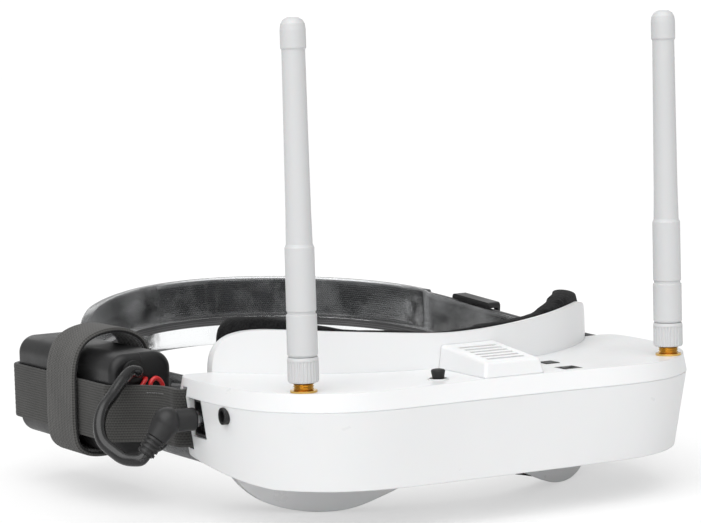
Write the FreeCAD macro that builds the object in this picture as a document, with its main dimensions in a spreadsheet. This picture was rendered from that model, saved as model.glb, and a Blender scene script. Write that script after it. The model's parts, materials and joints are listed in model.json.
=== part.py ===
import FreeCAD, Part
import math
import os
import Sketcher

# FPV goggles: visor with two antennas, eyepieces and fan, foam faceplate, and a head strap
# that carries a battery with its cable. Millimetres. x = 0 is the visor's middle plane, +x the
# wearer's left, -y the way the wearer looks (front), y = 0 the line of the two antennas and
# z = 0 the flat underside of the visor.

V = FreeCAD.Vector
Rotation = FreeCAD.Rotation
Placement = FreeCAD.Placement
doc = FreeCAD.newDocument("fpv_goggles")

# ---------------------------------------------------------------- driving dimensions
DIMS = {
    # visor shell; the underside rises towards the rear from rise_from
    "deck_top": 30.0, "split_z": 24.3, "wall_thick": 2.2,
    "rear_rise": 5.6, "rise_from": 8.0, "rear_y": 58.0,
    # faceplate: part of an upright cylinder
    "face_radius": 83.5, "face_centre_y": 102.0, "face_thick": 2.0, "fit_gap": 0.05,
    # antennas and their sockets
    "antenna_x": 65.5, "whip_top": 141.0, "thread_radius": 3.175, "thread_pitch": 0.7056,
    "nut_low": 33.0, "nut_top": 40.6, "nut_radius": 4.8,
    # deck controls
    "stick_x": -20.8, "stick_y": -1.9, "stick_radius": 2.1,
    "button_x": 25.4, "button_y": 8.6, "button_wide": 5.0, "button_deep": 5.4,
    "switch_x": 24.3, "switch_y": -4.8, "switch_wide": 6.6, "switch_deep": 6.4,
    # fan and its cover
    "cover_x": 1.8, "cover_wide": 21.6, "cover_front": -10.0,
    "fan_size": 20.0, "fan_height": 6.0, "fan_bore": 9.2, "fan_y": 3.0, "fan_z": 15.6,
    # optics; eye_half is half the distance between the eyes
    "eye_half": 32.0, "carrier_wide": 30.0, "carrier_high": 18.0, "carrier_low": 3.7,
    "lens_radius": 8.0, "rail_radius": 1.25,
    "board_z": 22.5, "board_thick": 1.4, "board_long": 118.0,
    # side sockets
    "power_y": 42.0, "power_z": 18.2, "power_bore": 2.85, "plug_radius": 2.75,
    "av_y": 23.0, "av_z": 21.3, "av_bore": 1.8, "av_deep": 14.0,
    # battery: front outer corner, size and turn about z in degrees
    "battery_long": 74.0, "battery_high": 33.5, "battery_deep": 22.0, "battery_x": -98.8,
    "battery_y": 73.0, "battery_low": 2.5, "battery_yaw": 5.31, "battery_round": 6.0,
    # straps, strap former, cable and wire
    "strap_wide": 18.5, "strap_thick": 1.7, "strap_mid_z": 17.4,
    "former_high": 27.0, "former_thick": 0.6, "belt_wide": 20.6, "belt_thick": 1.8,
    "cable_radius": 1.95, "wire_radius": 0.75,
}
sheet = doc.addObject("Spreadsheet::Sheet", "dims")
for row, (alias, number) in enumerate(DIMS.items(), 1):
    sheet.set(f"A{row}", alias)
    sheet.set(f"B{row}", str(number))
    sheet.setAlias(f"B{row}", alias)
doc.recompute()

PARTS = {}          # label -> object, the pieces that are written out


def size(alias):
    return float(sheet.get(alias))


# ---------------------------------------------------------------- document helpers
# Sizes and places below are numbers or expressions in which $name is a sheet alias.


def keep(obj, label):
    obj.Label = label
    PARTS[label] = obj


def keep_shape(label, shape, placement=None):
    obj = doc.addObject("Part::Feature", label)
    obj.Shape = shape
    if placement:
        obj.Placement = placement
    keep(obj, label)


def sheet_text(expression):
    return str(expression).replace("$", "dims.")


def bind(obj, **expressions):
    for prop, expression in expressions.items():
        obj.setExpression(prop, sheet_text(expression))


def place(obj, x=0, y=0, z=0):
    for axis, expression in zip("xyz", (x, y, z)):
        obj.setExpression("Placement.Base." + axis, sheet_text(expression))
    return obj


AXIS_TURN = {"x": Rotation(V(0, 1, 0), 90), "y": Rotation(V(1, 0, 0), -90)}


def cylinder(name, radius, height, x=0, y=0, z=0, axis="z"):
    obj = doc.addObject("Part::Cylinder", name)
    bind(obj, Radius=radius, Height=height)
    if axis in AXIS_TURN:
        obj.Placement = Placement(V(0, 0, 0), AXIS_TURN[axis])
    return place(obj, x, y, z)


def box(name, length, width, height, x=0, y=0, z=0):
    obj = doc.addObject("Part::Box", name)
    bind(obj, Length=length, Width=width, Height=height)
    return place(obj, x, y, z)


def cut(name, base, tool):
    obj = doc.addObject("Part::Cut", name)
    obj.Base = base
    obj.Tool = tool
    return obj


def fuse(name, *objs):
    obj = doc.addObject("Part::MultiFuse", name)
    obj.Shapes = list(objs)
    return obj


def common(name, *objs):
    obj = doc.addObject("Part::MultiCommon", name)
    obj.Shapes = list(objs)
    return obj


def fillet_box(name, base, radius, wanted):
    """Round the edges of a box for which wanted(edge) is true."""
    obj = doc.addObject("Part::Fillet", name)
    obj.Base = base
    doc.recompute()
    obj.Edges = [(i, radius, radius) for i, edge in enumerate(base.Shape.Edges, 1)
                 if wanted(edge)]
    return obj


# ---------------------------------------------------------------- sketch helpers


def value_of(expression):
    """Value of an expression of signed products and quotients, without brackets."""

    def number(text):
        return DIMS[text[1:]] if text.startswith("$") else float(text)

    total = 0.0
    for term in str(expression).replace(" ", "").replace("-", "+-").split("+"):
        if not term:
            continue
        product = -1.0 if term.startswith("-") else 1.0
        factors, *divisors = term.lstrip("-").split("/")
        for factor in factors.split("*"):
            product *= number(factor)
        for divisor in divisors:
            product /= number(divisor)
        total += product
    return total


def new_body(name):
    return doc.addObject("PartDesign::Body", name)


def new_sketch(body, name, role):
    sketch = body.newObject("Sketcher::SketchObject", name)
    plane = next(f for f in body.Origin.OriginFeatures if f.Role == role)
    sketch.AttachmentSupport = [(plane, "")]
    sketch.MapMode = "FlatFace"
    return sketch


def pin(sketch, geometry, point, place_xy):
    """Tie a sketch point to the origin by its x and y expressions."""
    for kind, axis, expression in zip(("DistanceX", "DistanceY"), (-2, -1), place_xy):
        value = value_of(expression)
        text = sheet_text(expression)
        if abs(value) < 1e-9:
            sketch.addConstraint(
                Sketcher.Constraint("PointOnObject", geometry, point, axis))
        elif value > 0:
            index = sketch.addConstraint(
                Sketcher.Constraint(kind, -1, 1, geometry, point, value))
            sketch.setExpression(f"Constraints[{index}]", text)
        else:
            index = sketch.addConstraint(
                Sketcher.Constraint(kind, geometry, point, -1, 1, -value))
            sketch.setExpression(f"Constraints[{index}]", f"-({text})")


def outline(sketch, points):
    """Closed straight-sided outline with every corner tied to the sheet."""
    corners = [V(value_of(x), value_of(y), 0) for x, y in points]
    ends = corners[1:] + corners[:1]
    sides = [sketch.addGeometry(Part.LineSegment(a, b), False)
             for a, b in zip(corners, ends)]
    for side, following in zip(sides, sides[1:] + sides[:1]):
        sketch.addConstraint(Sketcher.Constraint("Coincident", side, 2, following, 1))
    for side, point in zip(sides, points):
        pin(sketch, side, 1, point)


def circle(sketch, radius, x=0, y=0):
    value = value_of(radius)
    centre = V(value_of(x), value_of(y), 0)
    geometry = sketch.addGeometry(Part.Circle(centre, V(0, 0, 1), value), False)
    index = sketch.addConstraint(Sketcher.Constraint("Radius", geometry, value))
    sketch.setExpression(f"Constraints[{index}]", sheet_text(radius))
    pin(sketch, geometry, 3, (x, y))


def pad(body, name, length, points=None, radius=None):
    """Pad an outline, a circle about the origin, or both, up from the XY plane."""
    sketch = new_sketch(body, name, "XY_Plane")
    if points:
        outline(sketch, points)
    if radius:
        circle(sketch, radius)
    feature = body.newObject("PartDesign::Pad", name + "_pad")
    feature.Profile = sketch
    bind(feature, Length=length)


def turned_body(name, points):
    """Body turned about z from a (radius, z) outline."""
    body = new_body(name)
    sketch = new_sketch(body, name + "_sketch", "XZ_Plane")
    outline(sketch, points)
    feature = body.newObject("PartDesign::Revolution", name + "_turn")
    feature.Profile = sketch
    feature.ReferenceAxis = (sketch, ["V_Axis"])
    feature.Angle = 360
    doc.recompute()
    return body


# ---------------------------------------------------------------- shape helpers


def block(x0, x1, y0, y1, z0, z1):
    return Part.makeBox(x1 - x0, y1 - y0, z1 - z0, V(x0, y0, z0))


def post(radius, x, y, z0, z1):
    return Part.makeCylinder(radius, z1 - z0, V(x, y, z0))


def closed_polygon(points):
    return Part.makePolygon(points + points[:1])


def on_side(shape, sign):
    """The shape itself on the left (+1), its mirror image on the right (-1)."""
    return shape if sign > 0 else shape.mirror(V(0, 0, 0), V(1, 0, 0))


def edges_along_y(shape):
    return [e for e in shape.Edges if abs(e.tangentAt(e.FirstParameter).y) > 0.9]


# ---------------------------------------------------------------- visor plans
# Half plans of the visor, (x, y) from the front centre to the rear corner.
CREASE = [      # widest line, where shell and cover meet
    (0, -14.0), (20, -14.2), (38, -14.7), (48, -14.1), (56, -12.2), (62.6, -8.9),
    (68.5, -4.2), (73.5, 1.3), (77.6, 8.0), (80.4, 16.0), (82.2, 26.0), (83.2, 38.0),
    (83.5, 48.0), (83.2, 53.5), (81.7, 57.4), (78.2, 59.4)]
RIDGE = [       # edge of the deck
    (0, -11.2), (20, -11.6), (38, -12.9), (48, -12.8), (56, -11.1), (62.1, -8.0),
    (67.8, -3.5), (72.6, 1.8), (76.6, 8.4), (79.4, 16.3), (81.2, 26.2), (82.2, 38.0),
    (82.5, 48.0), (82.1, 53.2), (80.7, 56.7), (77.8, 58.4)]
FLOOR = [       # edge of the underside
    (0, -12.4), (20, -12.4), (36, -12.0), (46, -11.0), (54, -8.7), (60.4, -5.3),
    (66.0, -0.7), (70.7, 4.7), (74.6, 11.2), (77.3, 18.8), (79.1, 28.0), (80.1, 39.0),
    (80.4, 48.4), (80.0, 53.2), (78.6, 56.4), (76.2, 58.0)]

SPLIT_Z = size("split_z")
DECK_TOP = size("deck_top")
WALL = size("wall_thick")
GAP = size("fit_gap")
FACE_RADIUS = size("face_radius")
FACE_Y = size("face_centre_y")
ANTENNA_X = size("antenna_x")
SIDES = (("right", -1), ("left", 1))        # wearer's side and sign of x

BOSSES = [(-53.5, -4.0), (53.5, -4.0), (-73.0, 30.0), (73.0, 30.0)]
BOSS_RADIUS = 2.6
RECESS_RADIUS = 4.15            # round the antenna sockets
REAR_ARC_X = 70.6               # half width of the hollow the faceplate sits in
POWER_RECESS = (9.4, 12.4)      # width along y, height

STRAP_WIDE = size("strap_wide")
STRAP_THICK = size("strap_thick")
STRAP_MID_Z = size("strap_mid_z")
SLOT_LOW = STRAP_MID_Z - STRAP_WIDE / 2 - 0.6
SLOT_HIGH = STRAP_MID_Z + STRAP_WIDE / 2 + 0.6


def cavity_half(half):
    """Half plan moved inwards by the wall and stopped short of the rear wall."""
    moved = [(0.0, half[0][1] + WALL)]
    for i in range(1, len(half) - 2):
        x, y = half[i]
        along_x = half[i + 1][0] - half[i - 1][0]
        along_y = half[i + 1][1] - half[i - 1][1]
        length = math.hypot(along_x, along_y)
        moved.append((x - along_y / length * WALL, y + along_x / length * WALL))
    return [(x, min(y, size("rear_y") - WALL - 0.4)) for x, y in moved]


def front_spline(half, z):
    """Spline round the front, from the right rear corner to the left one."""
    points = [V(-x, y, z) for x, y in reversed(half[1:])] + [V(x, y, z) for x, y in half]
    spline = Part.BSplineCurve()
    spline.interpolate(points)
    return spline.toShape(), points[-1], points[0]


def shell_plan(half, z):
    """Closed plan with a concave arc at the rear that follows the faceplate."""
    front, left, right = front_spline(half, z)
    radius = FACE_RADIUS + GAP
    arc_y = FACE_Y - math.sqrt(radius * radius - REAR_ARC_X * REAR_ARC_X)
    arc_left = V(REAR_ARC_X, arc_y, z)
    arc_right = V(-REAR_ARC_X, arc_y, z)
    arc = Part.Arc(arc_left, V(0, FACE_Y - radius, z), arc_right).toShape()
    return Part.Wire([front, Part.makeLine(left, arc_left), arc,
                      Part.makeLine(arc_right, right)])


def cavity_plan(half, z):
    """Closed plan of the inside, with a straight rear."""
    front, left, right = front_spline(cavity_half(half), z)
    rear_y = size("rear_y") - WALL
    rear_left = V(left.x, rear_y, z)
    rear_right = V(right.x, rear_y, z)
    return Part.Wire([front, Part.makeLine(left, rear_left),
                      Part.makeLine(rear_left, rear_right),
                      Part.makeLine(rear_right, right)])


def rise_wedge(lift):
    """Everything under the rising underside, raised by lift."""
    bend_y, end_y, bottom = size("rise_from"), 75.0, -20
    slope = size("rear_rise") / (size("rear_y") - bend_y)
    section = [(bend_y - 30, bottom), (end_y, bottom), (end_y, (end_y - bend_y) * slope + lift),
               (bend_y, lift), (bend_y - 30, lift)]
    face = Part.Face(closed_polygon([V(-100, y, z) for y, z in section]))
    return face.extrude(V(200, 0, 0))


def strap_slot(sign):
    """Angled slot that leaves a bar for the strap at a rear corner."""
    slot = block(75.3, 90, 48.2, 52.1, SLOT_LOW, SLOT_HIGH)
    slot = slot.fuse(block(75.3, 79.7, 48.2, 66, SLOT_LOW, SLOT_HIGH))
    return on_side(slot, sign)


def strap_bay(sign):
    """Block that closes the slot off from the inside of the visor."""
    low, high = SLOT_LOW - 1.6, SLOT_HIGH + 0.6
    bay = block(73.8, 80.2, 46.9, 57.4, low, high)
    bay = bay.fuse(block(73.8, 81.0, 46.9, 52.6, low, high))
    return on_side(bay, sign)


def add_strap_bars(shape, envelope):
    bays = strap_bay(1).fuse(strap_bay(-1)).common(envelope)
    return shape.fuse(bays).cut(strap_slot(1)).cut(strap_slot(-1))


def power_recess(top_z):
    wide, high = POWER_RECESS
    y, z = size("power_y"), size("power_z")
    return block(-90, -77.0, y - wide / 2, y + wide / 2, z - high / 2, top_z)


def main_shell():
    outer = Part.makeLoft([shell_plan(FLOOR, 0), shell_plan(CREASE, SPLIT_Z)], True, True)
    inner = Part.makeLoft([cavity_plan(FLOOR, 0), cavity_plan(CREASE, SPLIT_Z + 0.001)],
                          True, True)
    inner = inner.cut(rise_wedge(WALL))
    envelope = outer.cut(rise_wedge(0))
    shell = add_strap_bars(envelope.cut(inner), envelope)
    # power recess and AV socket hole in the wearer's right wall
    shell = shell.cut(power_recess(SPLIT_Z + 1))
    shell = shell.cut(
        Part.makeCylinder(2.65, 12, V(-86, size("av_y"), size("av_z")), V(1, 0, 0)))
    # travel slots for the eyepiece thumb tabs
    for sign in (1, -1):
        x = sign * size("eye_half")
        shell = shell.cut(block(x - 6.6, x + 6.6, -2.9, 0.7, -1, 3.0))
    # air slots in the underside
    for i in range(5):
        shell = shell.cut(block(-5.6 + 3.4 * i, -4.0 + 3.4 * i, -3, 7, -1, 3.0))
    # screw bosses
    for x, y in BOSSES:
        shell = shell.fuse(post(BOSS_RADIUS, x, y, 1.0, SPLIT_Z).cut(rise_wedge(0.3)))
    for x, y in BOSSES:
        shell = shell.cut(post(0.95, x, y, 6.0, SPLIT_Z + 1))
    for sign in (1, -1):
        shell = shell.cut(post(RECESS_RADIUS, sign * ANTENNA_X, 0, 19.5, SPLIT_Z + 1))
    keep_shape("main_shell", shell.removeSplitter())


def top_cover():
    outer = Part.makeLoft([shell_plan(CREASE, SPLIT_Z), shell_plan(RIDGE, DECK_TOP)],
                          True, True)
    inner = Part.makeLoft([cavity_plan(CREASE, SPLIT_Z - 0.5),
                           cavity_plan(RIDGE, DECK_TOP - WALL)], True, True)
    cover = add_strap_bars(outer.cut(inner), outer)
    low, high = 20, 35          # reach of the tools that pass through the deck
    for sign in (1, -1):
        x = sign * ANTENNA_X
        cover = cover.cut(post(RECESS_RADIUS, x, 0, low, DECK_TOP - WALL))
        cover = cover.cut(post(size("thread_radius") + 0.08, x, 0, low, high))
    cover = cover.cut(post(3.3, size("stick_x"), size("stick_y"), low, high))
    for control in ("button", "switch"):
        x, y = size(control + "_x"), size(control + "_y")
        half_x = size(control + "_wide") / 2 + 0.1
        half_y = size(control + "_deep") / 2 + 0.1
        cover = cover.cut(block(x - half_x, x + half_x, y - half_y, y + half_y, low, high))
    fan_x = size("cover_x")
    cover = cover.cut(block(fan_x - 8, fan_x + 8, -6.0, 12.0, low, high))
    for x, y in BOSSES:
        cover = cover.fuse(post(BOSS_RADIUS, x, y, SPLIT_Z + 0.05, DECK_TOP - 0.5))
    for x, y in BOSSES:
        cover = cover.cut(post(1.25, x, y, SPLIT_Z - 1, DECK_TOP - 1.4))
    cover = cover.cut(power_recess(SPLIT_Z + 0.1))
    keep_shape("top_cover", cover.removeSplitter())


def case_screws():
    screws = [cylinder(f"screw{i}", 0.9, 20.0, x, y, 8.0) for i, (x, y) in enumerate(BOSSES)]
    keep(fuse("screw_set", *screws), "case_screws")


# ---------------------------------------------------------------- faceplate and foam
# Half outlines seen along y, (x, z) from the top centre round to the nose notch.
FACE_OUTLINE = [
    (0, 41.0), (20, 41.9), (40, 43.2), (55, 44.0), (62, 43.6), (66.5, 41.7), (69.4, 37.6),
    (70.4, 32.0), (70.4, 20.0), (69.8, 8.0), (68.0, 0.2), (64.6, -6.6), (59.8, -11.0),
    (52.8, -13.3), (44.2, -13.9), (36.0, -12.6), (28.6, -9.7), (21.0, -6.2), (13.0, -1.6),
    (6.0, 0.7), (0, 1.2)]
# The foam stands proud of the plate at the temples and sits inside it at the lower lobes.
FOAM_OUTLINE = [
    (0, 41.5), (20, 42.4), (36, 43.6), (48, 46.2), (56, 47.6), (62, 47.2), (66.8, 44.6),
    (69.8, 39.2), (70.9, 32.0), (70.8, 20.0), (69.8, 8.4), (67.4, 1.4), (63.8, -5.2),
    (59.2, -9.6), (52.6, -11.9), (44.2, -12.5), (36.2, -11.4), (28.8, -10.4), (20.6, -7.9),
    (12.6, -3.2), (6.0, -1.0), (0, -0.6)]
FOAM_REAR_RADIUS = 69.13
FOAM_REAR_Y = 96.08         # centre of the foam's rear surface
FOAM_HALF_ANGLE = 58.4      # degrees either side of the front
EYE_OPENING_Z = 12.8


def face_prism(half):
    right = [V(-x, 0, z) for x, z in reversed(half[1:-1])]
    left = [V(x, 0, z) for x, z in half]
    spline = Part.BSplineCurve()
    spline.interpolate(left + right, PeriodicFlag=True)
    return Part.Face(Part.Wire(spline.toShape())).extrude(V(0, 75, 0))


def upright(radius, y):
    return Part.makeCylinder(radius, 80, V(0, y, -25))


def eye_openings(half_wide, half_high, corner):
    """Two rounded openings, wide enough for the eyepieces' side travel."""
    openings = []
    for sign in (1, -1):
        x = sign * size("eye_half")
        opening = block(x - half_wide, x + half_wide, 0, 80,
                        EYE_OPENING_Z - half_high, EYE_OPENING_Z + half_high)
        openings.append(opening.makeFillet(corner, edges_along_y(opening)))
    return openings[0].fuse(openings[1])


def faceplate():
    plate = upright(FACE_RADIUS, FACE_Y).cut(
        upright(FACE_RADIUS - size("face_thick"), FACE_Y))
    plate = plate.common(face_prism(FACE_OUTLINE))
    plate = plate.cut(eye_openings(19.6, 9.4, 6.0))
    keep_shape("faceplate", [s for s in plate.Solids if s.BoundBox.YMax < 70][0])


def face_foam():
    """Pad inside the plate that thickens towards its ends."""
    foam = upright(FACE_RADIUS - size("face_thick") - GAP, FACE_Y)
    foam = foam.cut(upright(FOAM_REAR_RADIUS, FOAM_REAR_Y)).common(face_prism(FOAM_OUTLINE))
    for angle in (FOAM_HALF_ANGLE - 90, -FOAM_HALF_ANGLE - 180):
        beyond = Part.makeBox(100, 100, 90, V(0, 0, -30))
        beyond.Placement = Placement(V(0, FACE_Y, 0), Rotation(V(0, 0, 1), angle))
        foam = foam.cut(beyond)
    foam = foam.cut(eye_openings(24.0, 12.5, 9.0))
    keep_shape("face_foam", [s for s in foam.Solids if s.BoundBox.YMax < 85][0])


# ---------------------------------------------------------------- fan


def cover_ring(side_inset, front_inset, rear_y, front_rise, rear_rise):
    """Four-cornered ring of the fan cover, with heights above the deck."""
    x, half = size("cover_x"), size("cover_wide") / 2 - side_inset
    front_y = size("cover_front") + front_inset
    return closed_polygon([V(x - half, front_y, DECK_TOP + front_rise),
                           V(x + half, front_y, DECK_TOP + front_rise),
                           V(x + half, rear_y, DECK_TOP + rear_rise),
                           V(x - half, rear_y, DECK_TOP + rear_rise)])


def fan_cover():
    cover = Part.makeLoft([cover_ring(0, 0, 24, 0, 0), cover_ring(1.0, 1.2, 24, 4.6, 7.9)],
                          True, True)
    # a failed fillet leaves the cover with sharp edges
    try:
        edges = [e for e in cover.Edges
                 if e.BoundBox.ZMax > DECK_TOP + 1 and e.BoundBox.YMin < 20]
        cover = cover.makeFillet(1.1, edges)
    except Exception:
        pass
    # the rear follows the faceplate
    cover = cover.cut(Part.makeCylinder(FACE_RADIUS + 0.12, 60, V(0, FACE_Y, 10)))
    hollow = [cover_ring(1.6, 1.8, 15.6, -1, -1), cover_ring(2.6, 2.8, 15.6, 3.2, 5.6)]
    cover = cover.cut(Part.makeLoft(hollow, True, True))
    x = size("cover_x")
    for i in range(6):          # air slots across the top
        y = -5.0 + 3.4 * i
        cover = cover.cut(block(x - 6.6, x + 6.6, y, y + 1.5, DECK_TOP + 1.5, DECK_TOP + 12))
    cover = max(cover.Solids, key=lambda solid: solid.Volume)
    cover.translate(V(0, 0, 0.02))
    keep_shape("fan_cover", cover)


def fan_frame():
    """Square frame with a hub, a cross bar and a bearing pin."""
    half = "$fan_size/2"
    reach = "$fan_bore+0.4"
    body = new_body("fan_frame_body")
    pad(body, "frame", "$fan_height", radius="$fan_bore",
        points=[("-" + half, "-" + half), (half, "-" + half), (half, half), ("-" + half, half)])
    pad(body, "frame_hub", 0.9, radius=3.4)
    pad(body, "frame_bar", 0.9,
        points=[("-$fan_bore-0.4", -0.7), (reach, -0.7), (reach, 0.7), ("-$fan_bore-0.4", 0.7)])
    pad(body, "frame_pin", 4.6, radius=0.6)
    doc.recompute()
    keep(place(body, "$cover_x", "$fan_y", "$fan_z"), "fan_frame")


def fan_rotor():
    blades = 7
    pieces = [cylinder("rotor_hub", 3.2, "$fan_height-1.4", z=1.1)]
    for i in range(blades):
        blade = doc.addObject("Part::Box", f"blade{i}")
        bind(blade, Length="$fan_bore-3.4", Width=0.5, Height="$fan_height-2.2")
        turn = Rotation(V(0, 0, 1), 360.0 / blades * i)
        pitch = Rotation(V(1, 0, 0), 28)
        blade.Placement = Placement(turn.multVec(V(2.9, 0.9, 1.35)), turn.multiply(pitch))
        pieces.append(blade)
    bore = cylinder("rotor_bore", 0.66, 4.5, z=0.5)
    rotor = cut("rotor_bored", fuse("rotor_pieces", *pieces), bore)
    keep(place(rotor, "$cover_x", "$fan_y", "$fan_z"), "fan_rotor")


# ---------------------------------------------------------------- optics
RAIL_PLACES = ((15.2, 19.9), (5.2, 5.4))        # (y, z) of the two slide rails
OPTICS_Z = 13.4                                 # optical axis
LENS_FRONT, LENS_THICK = 22.6, 5.4              # y of the front vertex, thickness
LENS_FRONT_RADIUS, LENS_REAR_RADIUS = 17.0, 24.0
BULKHEAD_PLAN = [       # (x, y) of a front wall with two arms towards the rear
    (-50, 0), (50, 0), (56, 1.4), (58, 2.4), (59, 3.4), (59, 27), (57, 27), (57, 3.4),
    (55, 1.9), (50, 1.4), (-50, 1.4), (-55, 1.9), (-57, 3.4), (-57, 27), (-59, 27),
    (-59, 3.4), (-58, 2.4), (-56, 1.4)]


def along_rails(name, radius, length, x):
    return [cylinder(f"{name}{i}", radius, length, x, y, z, "x")
            for i, (y, z) in enumerate(RAIL_PLACES)]


def optics_frame():
    """Bulkhead that carries the rails."""
    body = new_body("bulkhead")
    pad(body, "bulkhead_plan", 17.4, points=BULKHEAD_PLAN)
    doc.recompute()
    place(body, 0, -8.6, 4.3)
    tools = along_rails("rail_hole", "$rail_radius+0.02", 140, -70)
    tools.append(box("corner_left", 13, 8, 7.3, 47.5, -11.9, 4.2))
    tools.append(box("corner_right", 13, 8, 7.3, -60.5, -11.9, 4.2))
    keep(cut("bulkhead_cut", body, fuse("bulkhead_tools", *tools)), "optics_frame")


def eyepiece_rails():
    keep(fuse("rail_pair", *along_rails("rail", "$rail_radius", 117.6, -58.8)),
         "eyepiece_rails")


def eyepiece_carrier(side, x):
    body = box("carrier_box_" + side, "$carrier_wide", 23.0, "$carrier_high",
               x + "-$carrier_wide/2", -6.2, "$carrier_low")
    tube = cylinder("carrier_tube_" + side, 8.7, 13.0, x, 16.8, OPTICS_Z, "y")
    tab = box("carrier_tab_" + side, 4.0, 3.0, 6.0, x + "-2.0", -2.6, -1.6)
    solid = fuse("carrier_solid_" + side, body, tube, tab)
    light_box = box("light_box_" + side, 17.0, 17.6, 11.2, x + "-8.5", -1.6, 7.0)
    bore = cylinder("lens_bore_" + side, "$lens_radius", 14.2, x, 15.8, OPTICS_Z, "y")
    pocket = box("panel_pocket_" + side, 24.4, 3.4, 14.4, x + "-12.2", -5.0, 6.4)
    grooves = along_rails("groove_" + side, "$rail_radius+0.05", 40, x + "-20")
    tools = fuse("carrier_tools_" + side, light_box, bore, pocket, *grooves)
    keep(cut("carrier_cut_" + side, solid, tools), "eyepiece_carrier_" + side)


def eyepiece_lens(side, x):
    """Biconvex lens: a cylinder within two spheres."""
    lens_rear = LENS_FRONT + LENS_THICK
    lens = cylinder("lens_rim_" + side, "$lens_radius-0.03", LENS_THICK,
                    x, LENS_FRONT, OPTICS_Z, "y")
    for name, radius, y in (("front", LENS_FRONT_RADIUS, LENS_FRONT + LENS_FRONT_RADIUS),
                            ("rear", LENS_REAR_RADIUS, lens_rear - LENS_REAR_RADIUS)):
        ball = doc.addObject("Part::Sphere", f"lens_ball_{name}_{side}")
        bind(ball, Radius=radius)
        place(ball, x, y, OPTICS_Z)
        lens = common(f"lens_{name}_{side}", lens, ball)
    keep(lens, "eyepiece_lens_" + side)


def eyepieces():
    for side, sign in SIDES:
        x = f"{sign}*$eye_half"
        eyepiece_carrier(side, x)
        eyepiece_lens(side, x)
        keep(box("panel_" + side, 24.0, 2.2, 13.6, x + "-12.0", -4.6, 6.8),
             "display_panel_" + side)


# ---------------------------------------------------------------- boards


def main_board():
    """Board with a notch in its rear edge round the fan."""
    end = "$board_long/2"
    body = new_body("board_body")
    pad(body, "board_plan", "$board_thick", points=[
        ("-" + end, -7.6), (-48.5, -9.6), (48.5, -9.6), (end, -7.6), (end, 13.0),
        (13.6, 13.0), (13.6, -9.0), (-10.0, -9.0), (-10.0, 13.0), ("-" + end, 13.0)])
    doc.recompute()
    place(body, 0, 0, "$board_z")
    holes = [cylinder(f"board_hole{i}", 2.9, 4, x, y, 21)
             for i, (x, y) in enumerate(BOSSES[:2])]
    keep(cut("board_cut", body, fuse("board_holes", *holes)), "main_board")


def board_chips():
    """Four chips just under the main board."""
    chips = [box(f"chip_{x_name}_{y_name}", 5.0, width, 0.7, x, y, "$board_z-0.7-0.01")
             for y_name, y, width in (("front", 0.6, 5.0), ("rear", 7.0, 4.0))
             for x_name, x in (("left", 51.8), ("right", -56.8))]
    keep(fuse("chip_set", *chips), "board_chips")


def receiver():
    keep(box("receiver_plate", 10.6, 17.0, 1.2, 59.9, 9.0, 5.6), "receiver_board")
    keep(box("receiver_box", 9.4, 14.0, 3.6, 60.5, 10.5, 6.82), "receiver_can")


# ---------------------------------------------------------------- antennas
# Outlines are (radius, z).
THREAD_ROOT = "$thread_radius-0.38"
SOCKET_OUTLINE = [
    (0.7, 20.5), (2.4, 20.5), (2.4, 24.6), ("$thread_radius", 24.6), ("$thread_radius", 30.0),
    (4.1, 30.0), (4.1, 30.6), (THREAD_ROOT, 30.75)]
for turn_index in range(7):     # thread crests and roots
    SOCKET_OUTLINE += [("$thread_radius", f"31.1+$thread_pitch*{turn_index}"),
                       (THREAD_ROOT, f"31.45+$thread_pitch*{turn_index}")]
SOCKET_OUTLINE += [(2.3, 35.85), (2.3, 31.5), (0.7, 31.5)]
NUT_OUTLINE = [
    ("$thread_radius+$fit_gap", "$nut_low"), (4.35, "$nut_low"),
    ("$nut_radius-0.1", "$nut_low+0.5"), ("$nut_radius-0.1", "$nut_top-0.7"),
    (4.5, "$nut_top"), (2.62, "$nut_top"), (2.62, 37.5), ("$thread_radius+$fit_gap", 37.5)]
WHIP_OUTLINE = [
    (0, 36.1), (2.1, 36.1), (3.05, 36.3), (3.05, 37.4), (2.56, 37.4), (2.56, "$nut_top+0.1"),
    (4.2, "$nut_top+0.1"), (4.6, 41.3), (4.6, 53.2), (4.2, 53.5), (4.2, 54.1), (4.5, 54.4),
    (4.45, 73.2), (4.25, 73.5), (4.0, 74.2), (3.8, 84), (3.62, 110), (3.5, 131.4),
    (3.85, 131.9), (3.85, 137.2), (3.6, 139.0), (2.9, 140.2), (1.8, 140.85),
    (0, "$whip_top")]


def socket_nuts():
    """Hexagon nut and washer on each socket, under the deck."""
    rings = []
    for side, sign in SIDES:
        x = f"{sign}*$antenna_x"
        nut = doc.addObject("Part::Prism", "hexagon_" + side)
        nut.Polygon = 6
        bind(nut, Circumradius=3.9, Height=1.9)
        place(nut, x, 0, 25.2)
        washer = cylinder("washer_" + side, 3.9, 0.6, x, 0, 27.15)
        for name, solid in (("hexagon", nut), ("washer", washer)):
            bore = cylinder(f"{name}_bore_{side}", "$thread_radius+0.03", 10, x, 0, 20)
            rings.append(cut(f"{name}_ring_{side}", solid, bore))
    keep(fuse("socket_rings", *rings), "sma_nuts_and_washers")


def antenna_nut(side, x):
    """Coupling nut with knurl grooves round it."""
    body = turned_body("nut_body_" + side, NUT_OUTLINE)
    sketch = new_sketch(body, "knurl_sketch_" + side, "XY_Plane")
    circle(sketch, 0.42, "$nut_radius+0.12")
    groove = body.newObject("PartDesign::Pocket", "knurl_" + side)
    groove.Profile = sketch
    groove.Length = 39.4
    groove.Reversed = True
    doc.recompute()
    pattern = body.newObject("PartDesign::PolarPattern", "knurls_" + side)
    pattern.Originals = [groove]
    pattern.Axis = (sketch, ["N_Axis"])
    pattern.Angle = 360
    pattern.Occurrences = 26
    body.Tip = pattern
    doc.recompute()
    keep(place(body, x), "antenna_nut_" + side)


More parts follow.
